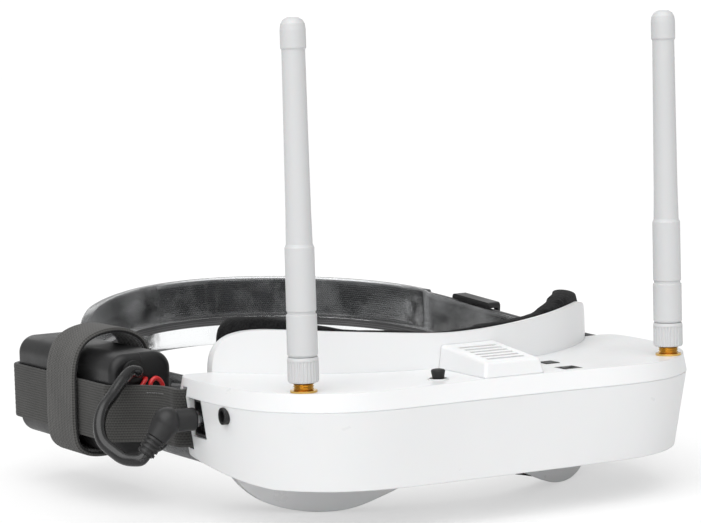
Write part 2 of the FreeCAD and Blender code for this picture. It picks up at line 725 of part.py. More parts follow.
def antennas():
    for side, sign in SIDES:
        x = f"{sign}*$antenna_x"
        keep(place(turned_body("socket_body_" + side, SOCKET_OUTLINE), x),
             "sma_socket_" + side)
        antenna_nut(side, x)
        keep(place(turned_body("whip_body_" + side, WHIP_OUTLINE), x),
             "antenna_whip_" + side)


# ---------------------------------------------------------------- deck controls
BOARD_TOP = "$board_z+$board_thick"
STICK_OUTLINE = [       # (radius, z) of the joystick cap
    (0, 26.7), (1.1, 26.7), (1.1, 27.9), (1.5, 28.6), ("$stick_radius-0.25", 30.4),
    ("$stick_radius-0.15", 31.2), ("$stick_radius+0.1", 32.6), ("$stick_radius-0.1", 33.0),
    (1.3, 33.2), (0, 33.05)]


def joystick():

    def disc(name, radius, height, z):
        return cylinder(name, radius, height, "$stick_x", "$stick_y", z)

    switch = box("stick_box", 7.4, 7.4, 3.6, "$stick_x-3.7", "$stick_y-3.7", BOARD_TOP)
    keep(cut("stick_box_cut", switch, disc("stick_well", 2.75, 5, 25.0)), "joystick_switch")
    keep(disc("stick_plunger", 2.68, 0.8, 25.4), "joystick_plunger")
    keep(cut("stick_ring_cut", disc("stick_ring", 2.3, 0.7, 26.65),
             disc("stick_ring_hole", 1.2, 3, 26)), "joystick_tilt_ring")
    keep(place(turned_body("stick_body", STICK_OUTLINE), "$stick_x", "$stick_y"),
         "joystick_cap")
    keep(cut("stick_bezel_cut", disc("stick_bezel", 3.2, 2.2, 28.15),
             disc("stick_bezel_hole", 2.8, 5, 27)), "joystick_bezel")


def menu_button():
    keep(box("button_box", 6.0, 6.0, 3.0, "$button_x-3.0", "$button_y-3.0", BOARD_TOP),
         "button_switch")
    cap_low, cap_high = 27.25, 3.0
    cap_top = cap_low + cap_high
    cap = box("button_block", "$button_wide", "$button_deep", cap_high,
              "$button_x-$button_wide/2", "$button_y-$button_deep/2", cap_low)

    def on_top(edge):
        bounds = edge.BoundBox
        return abs(bounds.ZMin - cap_top) < 1e-3 and abs(bounds.ZMax - cap_top) < 1e-3

    keep(fillet_box("button_round", cap, 0.35, on_top), "menu_button")


def fan_switch():
    """Slide switch with a window, and its slider."""
    base = box("slide_base", 7.4, 6.2, 3.75, "$switch_x-3.7", "$switch_y-3.1", BOARD_TOP)
    upper = box("slide_upper", "$switch_wide", "$switch_deep", 2.4,
                "$switch_x-$switch_wide/2", "$switch_y-$switch_deep/2", 27.6)
    window = box("slide_window", 5.2, 2.6, 3.4, "$switch_x-2.6", "$switch_y-1.3", 27.0)
    keep(cut("slide_cut", fuse("slide_solid", base, upper), window), "slide_switch_body")
    keep(box("slide_knob", 2.2, 2.4, 3.1, "$switch_x-2.4", "$switch_y-1.2", 27.1),
         "fan_switch_slider")


# ---------------------------------------------------------------- side sockets


def power_socket():
    solid = box("power_box", 13.0, 9.0, 11.6, -81.4, "$power_y-4.5", "$power_z-5.8")
    bore = cylinder("power_hole", "$power_bore", 11.0, -84, "$power_y", "$power_z", "x")
    mouth = box("power_mouth", 3.4, 7.6, 9.8, -83.0, "$power_y-3.8", "$power_z-4.9")
    centre_pin = cylinder("power_pin", 1.02, 9.0, -78.5, "$power_y", "$power_z", "x")
    hollow = cut("power_cut", solid, fuse("power_tools", bore, mouth))
    keep(fuse("power_with_pin", hollow, centre_pin), "power_socket")


def av_socket():
    solid = box("av_box", 14.0, 7.0, 5.4, -77.0, "$av_y-3.5", "$av_z-3.4")
    nose = cylinder("av_nose", 2.6, 6.0, -82.45, "$av_y", "$av_z", "x")
    bore = cylinder("av_hole", "$av_bore", "$av_deep", -83.0, "$av_y", "$av_z", "x")
    keep(cut("av_cut", fuse("av_solid", solid, nose), bore), "av_socket")


# ---------------------------------------------------------------- battery
# Battery frame: x from the outer face towards the head, y rearwards along the case.
BATTERY_TURN = Rotation(V(0, 0, 1), size("battery_yaw"))
BATTERY = Placement(V(size("battery_x"), size("battery_y"), 0), BATTERY_TURN)
GROMMET_X, GROMMET_Z = 7.6, 30.4
WIRE_START = (11.9, 27.4)       # (x, z) of the red wire's two holes in the front end
WIRE_END = (16.4, 18.0)


def on_battery(x, y, z=0.0):
    return BATTERY.multVec(V(x, y, z))


def front_hole(radius, x, z):
    return Part.makeCylinder(radius, 6, V(x, -3, z), V(0, 1, 0))


def battery_case():
    length, high, deep = size("battery_long"), size("battery_high"), size("battery_deep")
    low = size("battery_low")
    wall = 1.2
    case = Part.makeBox(deep, length, high, V(0, 0, low))
    case = case.makeFillet(size("battery_round"), edges_along_y(case))
    case = case.makeFillet(2.6, [e for e in case.Edges
                                 if e.BoundBox.YMax < 0.1 or e.BoundBox.YMin > length - 0.1])
    core = Part.makeBox(deep - 2 * wall, length - 2 * wall, high - 2 * wall,
                        V(wall, wall, low + wall))
    case = case.cut(core.makeFillet(5.0, edges_along_y(core)))
    case = case.cut(front_hole(3.02, GROMMET_X, GROMMET_Z))
    for x, z in (WIRE_START, WIRE_END):
        case = case.cut(front_hole(0.95, x, z))
    middle, half_gap = deep / 2, 0.02
    outer = case.common(Part.makeBox(middle - half_gap, 200, 200, V(0, -50, -50)))
    inner = case.common(Part.makeBox(100, 200, 200, V(middle + half_gap, -50, -50)))
    keep_shape("battery_case_outer", outer, BATTERY)
    keep_shape("battery_case_inner", inner, BATTERY)


def battery_cells():
    cells = []
    for i, x in enumerate((2.0, 11.3)):
        cell = doc.addObject("Part::Box", f"cell{i}")
        bind(cell, Length=8.7, Width="$battery_long-8", Height="$battery_high-5.6")
        cell.Placement = Placement(on_battery(x, 4.6, size("battery_low") + 2.8),
                                   BATTERY_TURN)
        cells.append(fillet_box(f"cell_round{i}", cell, 3.2, lambda edge: edge.Length > 60))
    keep(fuse("cell_pair", *cells), "battery_cells")


# Cross outline of the belt's inner face round battery and head strap, (x, z) on the battery.
BELT_OUTLINE = [
    (-2.9, 19.0), (-2.9, 10.0), (-1.9, 4.8), (2.4, 2.3), (11.0, 2.1), (19.2, 2.5), (22.5, 7.0),
    (22.9, 18.0), (22.7, 31.0), (20.6, 37.2), (14.0, 40.4), (6.0, 40.0), (0.2, 36.8),
    (-2.5, 30.0)]


def belt_prism(offset):
    """Prism of the belt outline moved outwards by offset."""
    count = len(BELT_OUTLINE)
    points = []
    for i, (x, z) in enumerate(BELT_OUTLINE):
        x_before, z_before = BELT_OUTLINE[i - 1]
        x_after, z_after = BELT_OUTLINE[(i + 1) % count]
        along_x, along_z = x_after - x_before, z_after - z_before
        length = math.hypot(along_x, along_z)
        points.append(V(x + along_z / length * offset, 0, z - along_x / length * offset))
    spline = Part.BSplineCurve()
    spline.interpolate(points, PeriodicFlag=True)
    face = Part.Face(Part.Wire(spline.toShape()))
    return face.extrude(V(0, size("belt_wide"), 0))


def battery_strap():
    belt = belt_prism(size("belt_thick")).cut(belt_prism(0.0))
    keep_shape("battery_strap", belt,
               BATTERY.multiply(Placement(V(0, 19.5, 0), Rotation())))


# ---------------------------------------------------------------- swept shapes


def catmull(points, steps):
    """Smooth path through points, with the given number of steps a span."""
    path = []
    last = len(points) - 1
    for i in range(last):
        p0, p1 = points[max(i - 1, 0)], points[i]
        p2, p3 = points[i + 1], points[min(i + 2, last)]
        for j in range(steps):
            u = j / float(steps)
            linear = (p2 - p0) * u
            square = (p0 * 2.0 - p1 * 5.0 + p2 * 4.0 - p3) * (u * u)
            cubic = (p1 * 3.0 - p0 - p2 * 3.0 + p3) * (u * u * u)
            path.append((p1 * 2.0 + linear + square + cubic) * 0.5)
    path.append(points[-1])
    return path


def beside(path, i, offset, z=0.0):
    """Point at height z, offset to the left of the direction of travel at path[i]."""
    before, after = path[max(i - 1, 0)], path[min(i + 1, len(path) - 1)]
    along = V(after.x - before.x, after.y - before.y, 0)
    along.normalize()
    return V(path[i].x - along.y * offset, path[i].y + along.x * offset, z)


def profile_loft(path, profile, tops):
    """Loft of a profile of (offset, height from the top) along a plan path."""
    return Part.makeLoft(
        [closed_polygon([beside(path, i, offset, tops[i] + rise) for offset, rise in profile])
         for i in range(len(path))], True, True)


def band(path, thick, lows, highs):
    """Upright band along a plan path between its lower and upper edges."""
    half = thick / 2
    wires = []
    for i, (low, high) in enumerate(zip(lows, highs)):
        corners = ((-half, low), (half, low), (half, high), (-half, high))
        wires.append(closed_polygon([beside(path, i, offset, z) for offset, z in corners]))
    return Part.makeLoft(wires, True, True)


def plan_points(table):
    return [V(x, y, 0) for x, y in table]


def smooth_step(u):
    u = min(1.0, max(0.0, u))
    return u * u * (3 - 2 * u)


def tube(points, radius):
    """Twelve-sided bar along a smooth path."""
    sides = 12
    path = catmull(points, 2)
    wires = []
    across = None
    for i, point in enumerate(path):
        along = path[min(i + 1, len(path) - 1)] - path[max(i - 1, 0)]
        along.normalize()
        if across is None:
            across = along.cross(V(0, 0, 1) if abs(along.z) < 0.9 else V(1, 0, 0))
        across = across - along * across.dot(along)
        across.normalize()
        third = along.cross(across)
        angles = [2 * math.pi * k / sides for k in range(sides)]
        wires.append(closed_polygon(
            [point + across * (radius * math.cos(a)) + third * (radius * math.sin(a))
             for a in angles]))
    return Part.makeLoft(wires, True, True)


# ---------------------------------------------------------------- head strap
# Plan line of the strap, (x, y): round the right bar, over the battery's outer face,
# round the head and round the left bar.
STRAP_RIGHT_BAR = [
    (-81.7, 63.6), (-79.2, 59.8), (-77.4, 56.0), (-77.4, 51.8), (-78.4, 49.7), (-81.0, 49.3),
    (-83.9, 49.5), (-85.3, 51.5), (-85.5, 56.0), (-86.8, 62.0), (-91.5, 67.6)]
STRAP_ON_BATTERY = [        # in the battery frame
    (-0.5, -0.2), (-1.45, 3.6), (-1.35, 20.0), (-1.35, 40.0), (-1.35, 66.0), (-0.6, 73.6),
    (3.4, 77.2), (9.5, 79.4)]
STRAP_ROUND_HEAD = [
    (-85.0, 156.4), (-78.4, 161.6), (-73.2, 168.8), (-68.0, 177.6), (-61.6, 187.6),
    (-53.0, 198.4), (-43.0, 208.0), (-31.0, 216.6), (-16.0, 222.8), (0.0, 225.0),
    (16.0, 222.8), (31.0, 217.0), (45.0, 208.0), (56.0, 197.4), (64.0, 184.8), (69.0, 170.0),
    (71.6, 154.0), (73.2, 138.0), (74.8, 122.0), (76.6, 106.0), (78.8, 90.0), (81.6, 76.0),
    (84.2, 65.0)]
STRAP_LEFT_BAR = [
    (85.5, 56.0), (85.3, 51.5), (83.9, 49.5), (81.0, 49.3), (78.4, 49.7), (77.4, 51.8),
    (77.4, 56.0), (78.6, 60.2), (80.2, 64.6)]
STRAP_SLOPE = 0.0895        # rise towards the back of the head

STRAP_PATH = catmull(
    plan_points(STRAP_RIGHT_BAR) + [on_battery(x, y) for x, y in STRAP_ON_BATTERY]
    + plan_points(STRAP_ROUND_HEAD) + plan_points(STRAP_LEFT_BAR), 2)


def sloped_z(y):
    return STRAP_MID_Z + max(0.0, y - 52.0) * STRAP_SLOPE


def strap_height(point):
    """Middle of the strap: level over the battery, then rising round the back."""
    if point.x < -60 and point.y < 152:
        return STRAP_MID_Z
    sloped = sloped_z(point.y)
    if point.x < -40:
        return STRAP_MID_Z + (sloped - STRAP_MID_Z) * smooth_step((point.y - 152.0) / 30.0)
    return sloped


STRAP_Z = [strap_height(point) for point in STRAP_PATH]
for smoothing in range(3):
    STRAP_Z = [STRAP_Z[0]] + [
        (STRAP_Z[i - 1] + 2 * STRAP_Z[i] + STRAP_Z[i + 1]) / 4
        for i in range(1, len(STRAP_Z) - 1)] + [STRAP_Z[-1]]


def strap_band(indices, thick, spare):
    """Band along part of the strap, higher and lower than it by spare."""
    half = STRAP_WIDE / 2 + spare
    return band([STRAP_PATH[i] for i in indices], thick,
                [STRAP_Z[i] - half for i in indices], [STRAP_Z[i] + half for i in indices])


def nearest_index(x, y):
    return min(range(len(STRAP_PATH)), key=lambda i: (STRAP_PATH[i] - V(x, y, 0)).Length)


def head_strap():
    keep_shape("head_strap", strap_band(range(len(STRAP_PATH)), STRAP_THICK, 0.0))


# ---------------------------------------------------------------- strap former
# Plan lines of the side strips, (x, y), from the back of the head forwards.
FORMER_RIGHT = [
    (-77.6, 161.0), (-80.2, 152.0), (-80.4, 141.0), (-78.4, 128.0), (-76.2, 112.0),
    (-74.9, 96.0), (-74.0, 80.0), (-72.8, 66.0), (-72.6, 60.2)]
FORMER_LEFT = [
    (66.6, 160.0), (67.2, 150.0), (68.2, 136.0), (69.6, 120.0), (71.2, 106.0), (72.6, 92.0),
    (73.0, 78.0)]
FORMER_TONGUE = [(-72.6, 61.2), (-72.4, 50.0), (-72.0, 38.0)]
HOOK_DEEP = 16.0            # inner leg of the fold, and the left strip
FORMER_RISE = STRAP_WIDE / 2 + 0.8      # top of the former above the strap's middle


def strap_former():
    """Strip folded over the strap at the back and single at the sides."""
    high, thick = size("former_high"), size("former_thick")
    inside = STRAP_THICK / 2 + 0.3
    outside = inside + thick
    middle = inside + thick / 2
    fold = [(inside, -high), (inside, -0.55), (-inside, -0.55), (-inside, -HOOK_DEEP),
            (-outside, -HOOK_DEEP), (-outside, 0.0), (outside, 0.0), (outside, -high)]
    back = [i for i, p in enumerate(STRAP_PATH) if p.y > 168.0]
    back_tops = [STRAP_Z[i] + FORMER_RISE for i in back]
    former = profile_loft([STRAP_PATH[i] for i in back], fold, back_tops)

    # right strip, inside the battery, down to the visor
    right_path = catmull([beside(STRAP_PATH, back[1], middle),
                          beside(STRAP_PATH, back[0], middle)]
                         + plan_points(FORMER_RIGHT), 3)
    tops, lows = [], []
    for point in right_path:
        blend = smooth_step((point.y - 120.0) / 48.0)
        top = (1 - blend) * (STRAP_MID_Z + FORMER_RISE) + blend * back_tops[0]
        tops.append(top)
        lows.append(max(0.3, top - high - 1.4 * (1 - blend)))
    right_strip = band(right_path, thick, lows, tops)
    low = lows[-1]
    tongue = band(plan_points(FORMER_TONGUE), thick, [low, low, low + 0.4],
                  [low + 4.6, low + 4.4, low + 3.0])
    near = [i for i, p in enumerate(STRAP_PATH) if p.x < -66 and 151.0 < p.y < 178.0]
    right_strip = right_strip.cut(strap_band(near, STRAP_THICK + 0.7, 0.6))
    former = former.fuse([right_strip, tongue])
    # opening where the strap passes through the strip on its way to the battery
    crossing_z = STRAP_Z[nearest_index(-78.6, 161.5)]
    former = former.cut(block(-86, -76.6, 150.5, 168.6, crossing_z - STRAP_WIDE / 2 - 0.9,
                              crossing_z + STRAP_WIDE / 2 + 0.5))

    # left strip, inside the strap and the slider
    left_path = catmull([beside(STRAP_PATH, back[-2], -middle),
                         beside(STRAP_PATH, back[-1], -middle)]
                        + plan_points(FORMER_LEFT), 3)
    tops = [sloped_z(p.y) + FORMER_RISE for p in left_path]
    left_strip = band(left_path, thick, [z - HOOK_DEEP for z in tops], tops)
    keep_shape("strap_former", former.fuse(left_strip).removeSplitter())


def strap_slider():
    """Frame with a cross bar on the left run of the strap, turned to its slope."""
    i = nearest_index(73.4, 136.0)
    along = STRAP_PATH[i + 1] - STRAP_PATH[i - 1]
    half_high = STRAP_WIDE / 2 + 2.6
    window_low, window_high = -STRAP_WIDE / 2 - 0.6, STRAP_WIDE + 1.2
    slider = Part.makeBox(24, 5.2, 2 * half_high, V(-12, -2.6, -half_high))
    slider = slider.makeFillet(1.4, edges_along_y(slider))
    slider = slider.cut(Part.makeBox(19.2, 8, window_high, V(-9.6, -4, window_low)))
    slider = slider.cut(Part.makeBox(40, 5.45, window_high, V(-20, -4, window_low)))
    slider = slider.fuse(
        Part.makeBox(3.0, 1.2, 2 * half_high - 1, V(-1.5, -2.6, -half_high + 0.5)))
    yaw = Rotation(V(0, 0, 1), math.degrees(math.atan2(along.y, along.x)))
    tilt = Rotation(V(0, 1, 0), math.degrees(math.atan(STRAP_SLOPE)))
    centre = V(STRAP_PATH[i].x, STRAP_PATH[i].y, STRAP_Z[i])
    keep_shape("strap_slider", slider.removeSplitter(), Placement(centre, yaw.multiply(tilt)))


# ---------------------------------------------------------------- power plug and cables
PLUG_X = -82.2
NECK_WAY = V(-0.62, 0.03, -0.785)       # direction of the plug's angled neck
NECK_WAY.normalize()
ELBOW = V(PLUG_X - 10.4, size("power_y"), size("power_z"))
NECK_END = ELBOW + NECK_WAY * 6.2
PLUG_TIP = NECK_END + NECK_WAY * 6.0
CABLE_MIDDLE = [        # (x, y, z) of the loop between plug and battery
    (-105.2, 46.4, 7.2), (-107.4, 49.6, 9.0), (-109.9, 53.0, 12.4), (-109.7, 56.0, 17.0),
    (-107.0, 59.4, 21.4), (-102.2, 63.0, 25.0), (-97.6, 66.4, 28.6), (-93.6, 69.2, 30.8)]
# Red wire in the battery frame, (x from the hole, y, z from the hole).
WIRE_FROM_START = [
    (0, 0.6, 0), (0, -0.9, 0), (-1.6, -2.4, -0.8), (-3.4, -2.5, -3.4), (-2.2, -2.6, -5.6),
    (-0.1, -3.4, -3.4), (0.4, -3.6, -0.8), (2.2, -3.4, 0.4), (4.2, -3.0, -0.8),
    (5.2, -2.6, -3.6)]
WIRE_FROM_END = [(0.2, -1.2, 0.3), (0, 0.6, 0)]


def power_plug():
    """Barrel in the socket, moulding outside, and a ribbed neck towards the cable."""

    def along_x(radius, length, x):
        return Part.makeCylinder(radius, length, V(x, ELBOW.y, ELBOW.z), V(1, 0, 0))

    barrel = along_x(size("plug_radius"), 10.4, PLUG_X - 2.0)
    bore = along_x(1.15, 11.4, PLUG_X - 1.6)
    mould = along_x(3.6, 8.2, PLUG_X - 9.4)
    mould_end = PLUG_X - 1.2
    mould = mould.makeFillet(0.6, [e for e in mould.Edges
                                   if abs(e.BoundBox.XMin - mould_end) < 1e-3
                                   and abs(e.BoundBox.XMax - mould_end) < 1e-3])
    neck = Part.makeCone(4.45, 3.5, 6.2, ELBOW, NECK_WAY)
    plug = mould.fuse([Part.makeSphere(4.5, ELBOW), neck])
    plug = plug.fuse(Part.makeCone(2.7, 2.35, 6.6, NECK_END - NECK_WAY * 0.6, NECK_WAY))
    for i in range(4):
        rib_base = NECK_END + NECK_WAY * (0.25 + 1.5 * i)
        plug = plug.fuse(Part.makeCylinder(3.3 - 0.15 * i, 0.85, rib_base, NECK_WAY))
    keep_shape("power_plug", plug.fuse(barrel).cut(bore).removeSplitter())


def power_cable():
    points = [PLUG_TIP + NECK_WAY * 0.4, PLUG_TIP + NECK_WAY * 1.1,
              PLUG_TIP + NECK_WAY * 2.4 + V(-0.5, 0.4, 0.3)]
    points += [V(x, y, z) for x, y, z in CABLE_MIDDLE]
    points += [on_battery(GROMMET_X, -3.6, GROMMET_Z + 0.1),
               on_battery(GROMMET_X, -2.8, GROMMET_Z),
               on_battery(GROMMET_X, -2.1, GROMMET_Z)]
    keep_shape("power_cable", tube(points, size("cable_radius")))


def cable_grommet():

    def ring(radius, length, y=-1.6):
        return Part.makeCylinder(radius, length, V(GROMMET_X, y, GROMMET_Z), V(0, 1, 0))

    grommet = ring(3.0, 2.6).fuse(ring(3.5, 1.5)).cut(ring(size("cable_radius") - 0.5, 12, -4))
    keep_shape("cable_grommet", grommet, BATTERY)


def red_wire():
    points = [on_battery(hole_x + x, y, hole_z + z)
              for (hole_x, hole_z), table in ((WIRE_START, WIRE_FROM_START),
                                              (WIRE_END, WIRE_FROM_END))
              for x, y, z in table]
    keep_shape("red_wire", tube(points, size("wire_radius")))


# ---------------------------------------------------------------- build
for build in (main_shell, top_cover, faceplate, face_foam, fan_cover, fan_frame, fan_rotor,
              optics_frame, eyepiece_rails, eyepieces, main_board, board_chips, receiver,
              socket_nuts, antennas, joystick, menu_button, fan_switch, power_socket,
              av_socket, case_screws, battery_case, battery_cells, head_strap, strap_former,
              strap_slider, battery_strap, power_plug, power_cable, cable_grommet, red_wire):
    build()

# ---------------------------------------------------------------- check and write
doc.recompute()
faults = []
for obj in doc.Objects:
    state = " ".join(str(word) for word in obj.State)
    if "Invalid" in state or "Error" in state:
        faults.append((obj.Name, state))
for label, obj in PARTS.items():
    shape = obj.Shape
    if shape is None or shape.isNull() or not shape.isValid() or len(shape.Solids) < 1:
        faults.append((label, "shape"))
if faults:
    raise SystemExit(f"unsound pieces: {faults}")

os.makedirs("parts", exist_ok=True)
for label, obj in PARTS.items():
    obj.Shape.exportStep(f"parts/{label}.step")
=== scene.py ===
import json
import math

import bpy
import bmesh
import numpy as np
from mathutils import Matrix, Vector


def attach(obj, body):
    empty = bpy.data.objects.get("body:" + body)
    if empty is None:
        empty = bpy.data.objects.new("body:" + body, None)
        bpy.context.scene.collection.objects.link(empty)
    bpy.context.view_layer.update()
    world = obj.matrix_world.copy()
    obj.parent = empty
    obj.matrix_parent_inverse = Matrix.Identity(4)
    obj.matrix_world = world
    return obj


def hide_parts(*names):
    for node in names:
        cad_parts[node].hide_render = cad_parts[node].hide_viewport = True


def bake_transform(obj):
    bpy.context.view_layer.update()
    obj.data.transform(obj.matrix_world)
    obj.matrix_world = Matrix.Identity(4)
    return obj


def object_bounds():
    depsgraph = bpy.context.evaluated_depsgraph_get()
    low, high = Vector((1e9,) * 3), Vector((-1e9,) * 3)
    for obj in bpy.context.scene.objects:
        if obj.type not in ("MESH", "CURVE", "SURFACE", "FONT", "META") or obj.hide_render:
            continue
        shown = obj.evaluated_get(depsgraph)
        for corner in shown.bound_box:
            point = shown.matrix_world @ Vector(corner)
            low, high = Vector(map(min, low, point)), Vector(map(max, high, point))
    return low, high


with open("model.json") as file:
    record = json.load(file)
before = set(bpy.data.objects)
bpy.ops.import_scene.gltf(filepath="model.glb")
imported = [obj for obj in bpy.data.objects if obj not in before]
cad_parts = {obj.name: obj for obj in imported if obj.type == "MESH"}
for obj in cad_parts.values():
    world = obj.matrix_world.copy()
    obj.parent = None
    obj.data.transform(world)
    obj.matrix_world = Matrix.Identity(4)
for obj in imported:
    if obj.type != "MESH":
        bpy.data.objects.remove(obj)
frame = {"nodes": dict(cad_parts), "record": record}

MM = 0.001
lo_a, hi_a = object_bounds()


# ------------------------------------------------------------------ node helpers
class Nodes:
    """a small wrapper that makes one material's node tree"""

    def __init__(self, name):
        self.mat = bpy.data.materials.new(name)
        self.mat.use_nodes = True
        self.t = self.mat.node_tree
        self.t.nodes.clear()
        self.out = self.n("ShaderNodeOutputMaterial")
        self.co = self.n("ShaderNodeTexCoord")

    def n(self, kind, **kw):
        node = self.t.nodes.new(kind)
        for k, v in kw.items():
            setattr(node, k, v)
        return node

    def put(self, node, key, val):
        sock = node.inputs[key]
        if isinstance(val, bpy.types.NodeSocket):
            self.t.links.new(val, sock)
        elif isinstance(val, (tuple, list)) and len(val) == 3 and sock.type == "RGBA":
            sock.default_value = (*val, 1.0)
        else:
            sock.default_value = val
        return node

    def noise(self, scale, detail=4.0, rough=0.55, vec=None):
        a = self.n("ShaderNodeTexNoise")
        self.put(a, "Vector", vec or self.co.outputs["Object"])
        self.put(a, "Scale", scale)
        self.put(a, "Detail", detail)
        self.put(a, "Roughness", rough)
        return a.outputs["Fac"]

    def ramp(self, v, a, b, c=0.0, d=1.0):
        m = self.n("ShaderNodeMapRange")
        self.put(m, "Value", v)
        self.put(m, "From Min", a)
        self.put(m, "From Max", b)
        self.put(m, "To Min", c)
        self.put(m, "To Max", d)
        return m.outputs["Result"]

    def math(self, op, a, b=0.0):
        m = self.n("ShaderNodeMath", operation=op)
        self.put(m, 0, a)
        self.put(m, 1, b)
        return m.outputs[0]

    def mix(self, f, a, b):
        m = self.n("ShaderNodeMix", data_type="RGBA")
        self.put(m, 0, f)
        self.put(m, 6, a if not isinstance(a, tuple) else (*a, 1.0))
        self.put(m, 7, b if not isinstance(b, tuple) else (*b, 1.0))
        return m.outputs[2]

    def bump(self, h, strength, dist, normal=None):
        b = self.n("ShaderNodeBump")
        self.put(b, "Strength", strength)
        self.put(b, "Distance", dist)
        self.put(b, "Height", h)
        if normal is not None:
            self.put(b, "Normal", normal)
        return b.outputs["Normal"]

    def bevel(self, r, samples=4):
        b = self.n("ShaderNodeBevel", samples=samples)
        self.put(b, "Radius", r)
        return b.outputs["Normal"]

    def edge(self, bevel_normal, amount, scale=420.0):
        """mask of worn edges, broken up by noise"""
        g = self.n("ShaderNodeNewGeometry")
        d = self.n("ShaderNodeVectorMath", operation="DOT_PRODUCT")
        self.put(d, 0, bevel_normal)
        self.put(d, 1, g.outputs["Normal"])
        e = self.ramp(d.outputs["Value"], 0.965, 0.80)
        k = self.ramp(self.noise(scale, 5.0), 0.42, 0.64)
        return self.math("MULTIPLY", self.math("MULTIPLY", e, k), amount)

    def bsdf(self, **kw):
        p = self.n("ShaderNodeBsdfPrincipled")
        for k, v in kw.items():
            self.put(p, k.replace("_", " "), v)
        return p

    def end(self, shader):
        self.t.links.new(shader, self.out.inputs["Surface"])
        return self.mat


def tint(c, k):
    return tuple(min(1.0, x * k) for x in c)


def hard(name, base, rough, wear, wear_amt=0.35, bevel=0.0004, var=0.05, grain=1500.0, grain_h=0.00002, strength=0.25, metal=0.0,
         coat=0.0, rough_var=0.08, spec=0.5, smudge=14.0, sub=0.0):
    """moulded plastic or metal: tone drift, roughness drift, fine grain, soft and slightly worn edges"""
    m = Nodes(name)
    nrm = m.bevel(bevel)
    tone = m.ramp(m.noise(smudge, 3.0), 0.3, 0.7)
    col = m.mix(tone, tint(base, 1 - var), tint(base, 1 + var * 0.6))
    col = m.mix(m.edge(nrm, wear_amt), col, wear)
    rg = m.ramp(m.noise(70.0, 6.0), 0.25, 0.75, max(0.02, rough - rough_var), rough + rough_var)
    bn = m.bump(m.noise(grain, 3.0), strength, grain_h, nrm)
    p = m.bsdf(Base_Color=col, Roughness=rg, Metallic=metal, Normal=bn)
    m.put(p, "Specular IOR Level", spec)
    m.put(p, "Coat Weight", coat)
    m.put(p, "Coat Roughness", 0.12)
    if sub:
        m.put(p, "Subsurface Weight", sub)
        m.put(p, "Subsurface Scale", 0.002)
    return m.end(p.outputs[0])


def threads(name, base, dark, across, along, amp, rough, fuzz=0.35, sheen=0.4, cross=0.35, var=0.18):
    """woven band. UV: x runs along the band in metres, y across it in metres."""
    m = Nodes(name)
    s = m.n("ShaderNodeSeparateXYZ")
    m.put(s, 0, m.co.outputs["UV"])
    u, v = s.outputs[0], s.outputs[1]
    ribs = m.math("SINE", m.math("MULTIPLY", v, 2 * math.pi / across))
    picks = m.math("SINE", m.math("MULTIPLY", u, 2 * math.pi / along))
    half = m.math("SINE", m.math("MULTIPLY", v, math.pi / across))
    twill = m.math("MULTIPLY", picks, m.math("SIGN", half))
    h = m.math("ADD", m.math("MULTIPLY", ribs, 0.5), m.math("MULTIPLY", twill, cross))
    h = m.math("ADD", h, m.math("MULTIPLY", m.noise(2600.0, 3.0), fuzz))
    t = m.ramp(h, -0.7, 0.9)
    col = m.mix(t, dark, base)
    patch = m.ramp(m.noise(55.0, 5.0), 0.3, 0.7, 1 - var, 1 + var)
    mul = m.n("ShaderNodeMix", data_type="RGBA", blend_type="MULTIPLY")
    m.put(mul, 0, 1.0)
    m.put(mul, 6, col)
    c2 = m.n("ShaderNodeCombineColor")
    for i in range(3):
        m.put(c2, i, patch)
    m.put(mul, 7, c2.outputs[0])
    bn = m.bump(h, 0.8, amp)
    p = m.bsdf(Base_Color=mul.outputs[2], Roughness=rough, Normal=bn)
    m.put(p, "Sheen Weight", sheen)
    m.put(p, "Sheen Roughness", 0.45)
    m.put(p, "Specular IOR Level", 0.25)
    return m.end(p.outputs[0])


WHITE = (0.80, 0.805, 0.81)
M = {}
M["white_shell"] = hard("white_shell", WHITE, 0.32, (0.72, 0.72, 0.71), 0.18, 0.0005, 0.02, 1900.0, 0.000012, 0.2, coat=0.12, rough_var=0.06, sub=0.05)
M["black_plastic"] = hard("black_plastic", (0.008, 0.008, 0.0085), 0.42, (0.05, 0.05, 0.05), 0.5, 0.0003, 0.2)
M["battery_black"] = hard("battery_black", (0.009, 0.009, 0.0095), 0.36, (0.06, 0.06, 0.06), 0.45, 0.0006, 0.25, 2300.0, 0.00005, 0.5, rough_var=0.12, spec=0.42)
M["chip_black"] = hard("chip_black", (0.02, 0.02, 0.021), 0.5, (0.08, 0.08, 0.08), 0.3, 0.0001, 0.15)
M["plug_black"] = None
M["black_rubber"] = hard("black_rubber", (0.008, 0.008, 0.008), 0.6, (0.04, 0.04, 0.04), 0.35, 0.0003, 0.2, 2600.0, 0.00005, 0.5)
M["steel"] = hard("steel", (0.56, 0.56, 0.57), 0.26, (0.75, 0.75, 0.76), 0.5, 0.0002, 0.08, 900.0, 0.00001, 0.2, metal=1.0)
M["tinned_steel"] = hard("tinned_steel", (0.62, 0.63, 0.63), 0.34, (0.78, 0.78, 0.78), 0.4, 0.0002, 0.1, 500.0, 0.00002, 0.3, metal=1.0)
M["gold"] = hard("gold", (0.72, 0.46, 0.13), 0.2, (0.92, 0.70, 0.32), 0.5, 0.00003, 0.1, 1500.0, 0.00001, 0.2, metal=1.0)
M["cell_foil"] = hard("cell_foil", (0.50, 0.51, 0.53), 0.3, (0.7, 0.7, 0.7), 0.3, 0.0003, 0.1, 260.0, 0.0002, 0.5, metal=1.0)
M["antenna_white"] = hard("antenna_white", (0.60, 0.605, 0.61), 0.40, (0.56, 0.56, 0.56), 0.2, 0.0003, 0.03, 2200.0, 0.00002, 0.3, rough_var=0.05, sub=0.05)
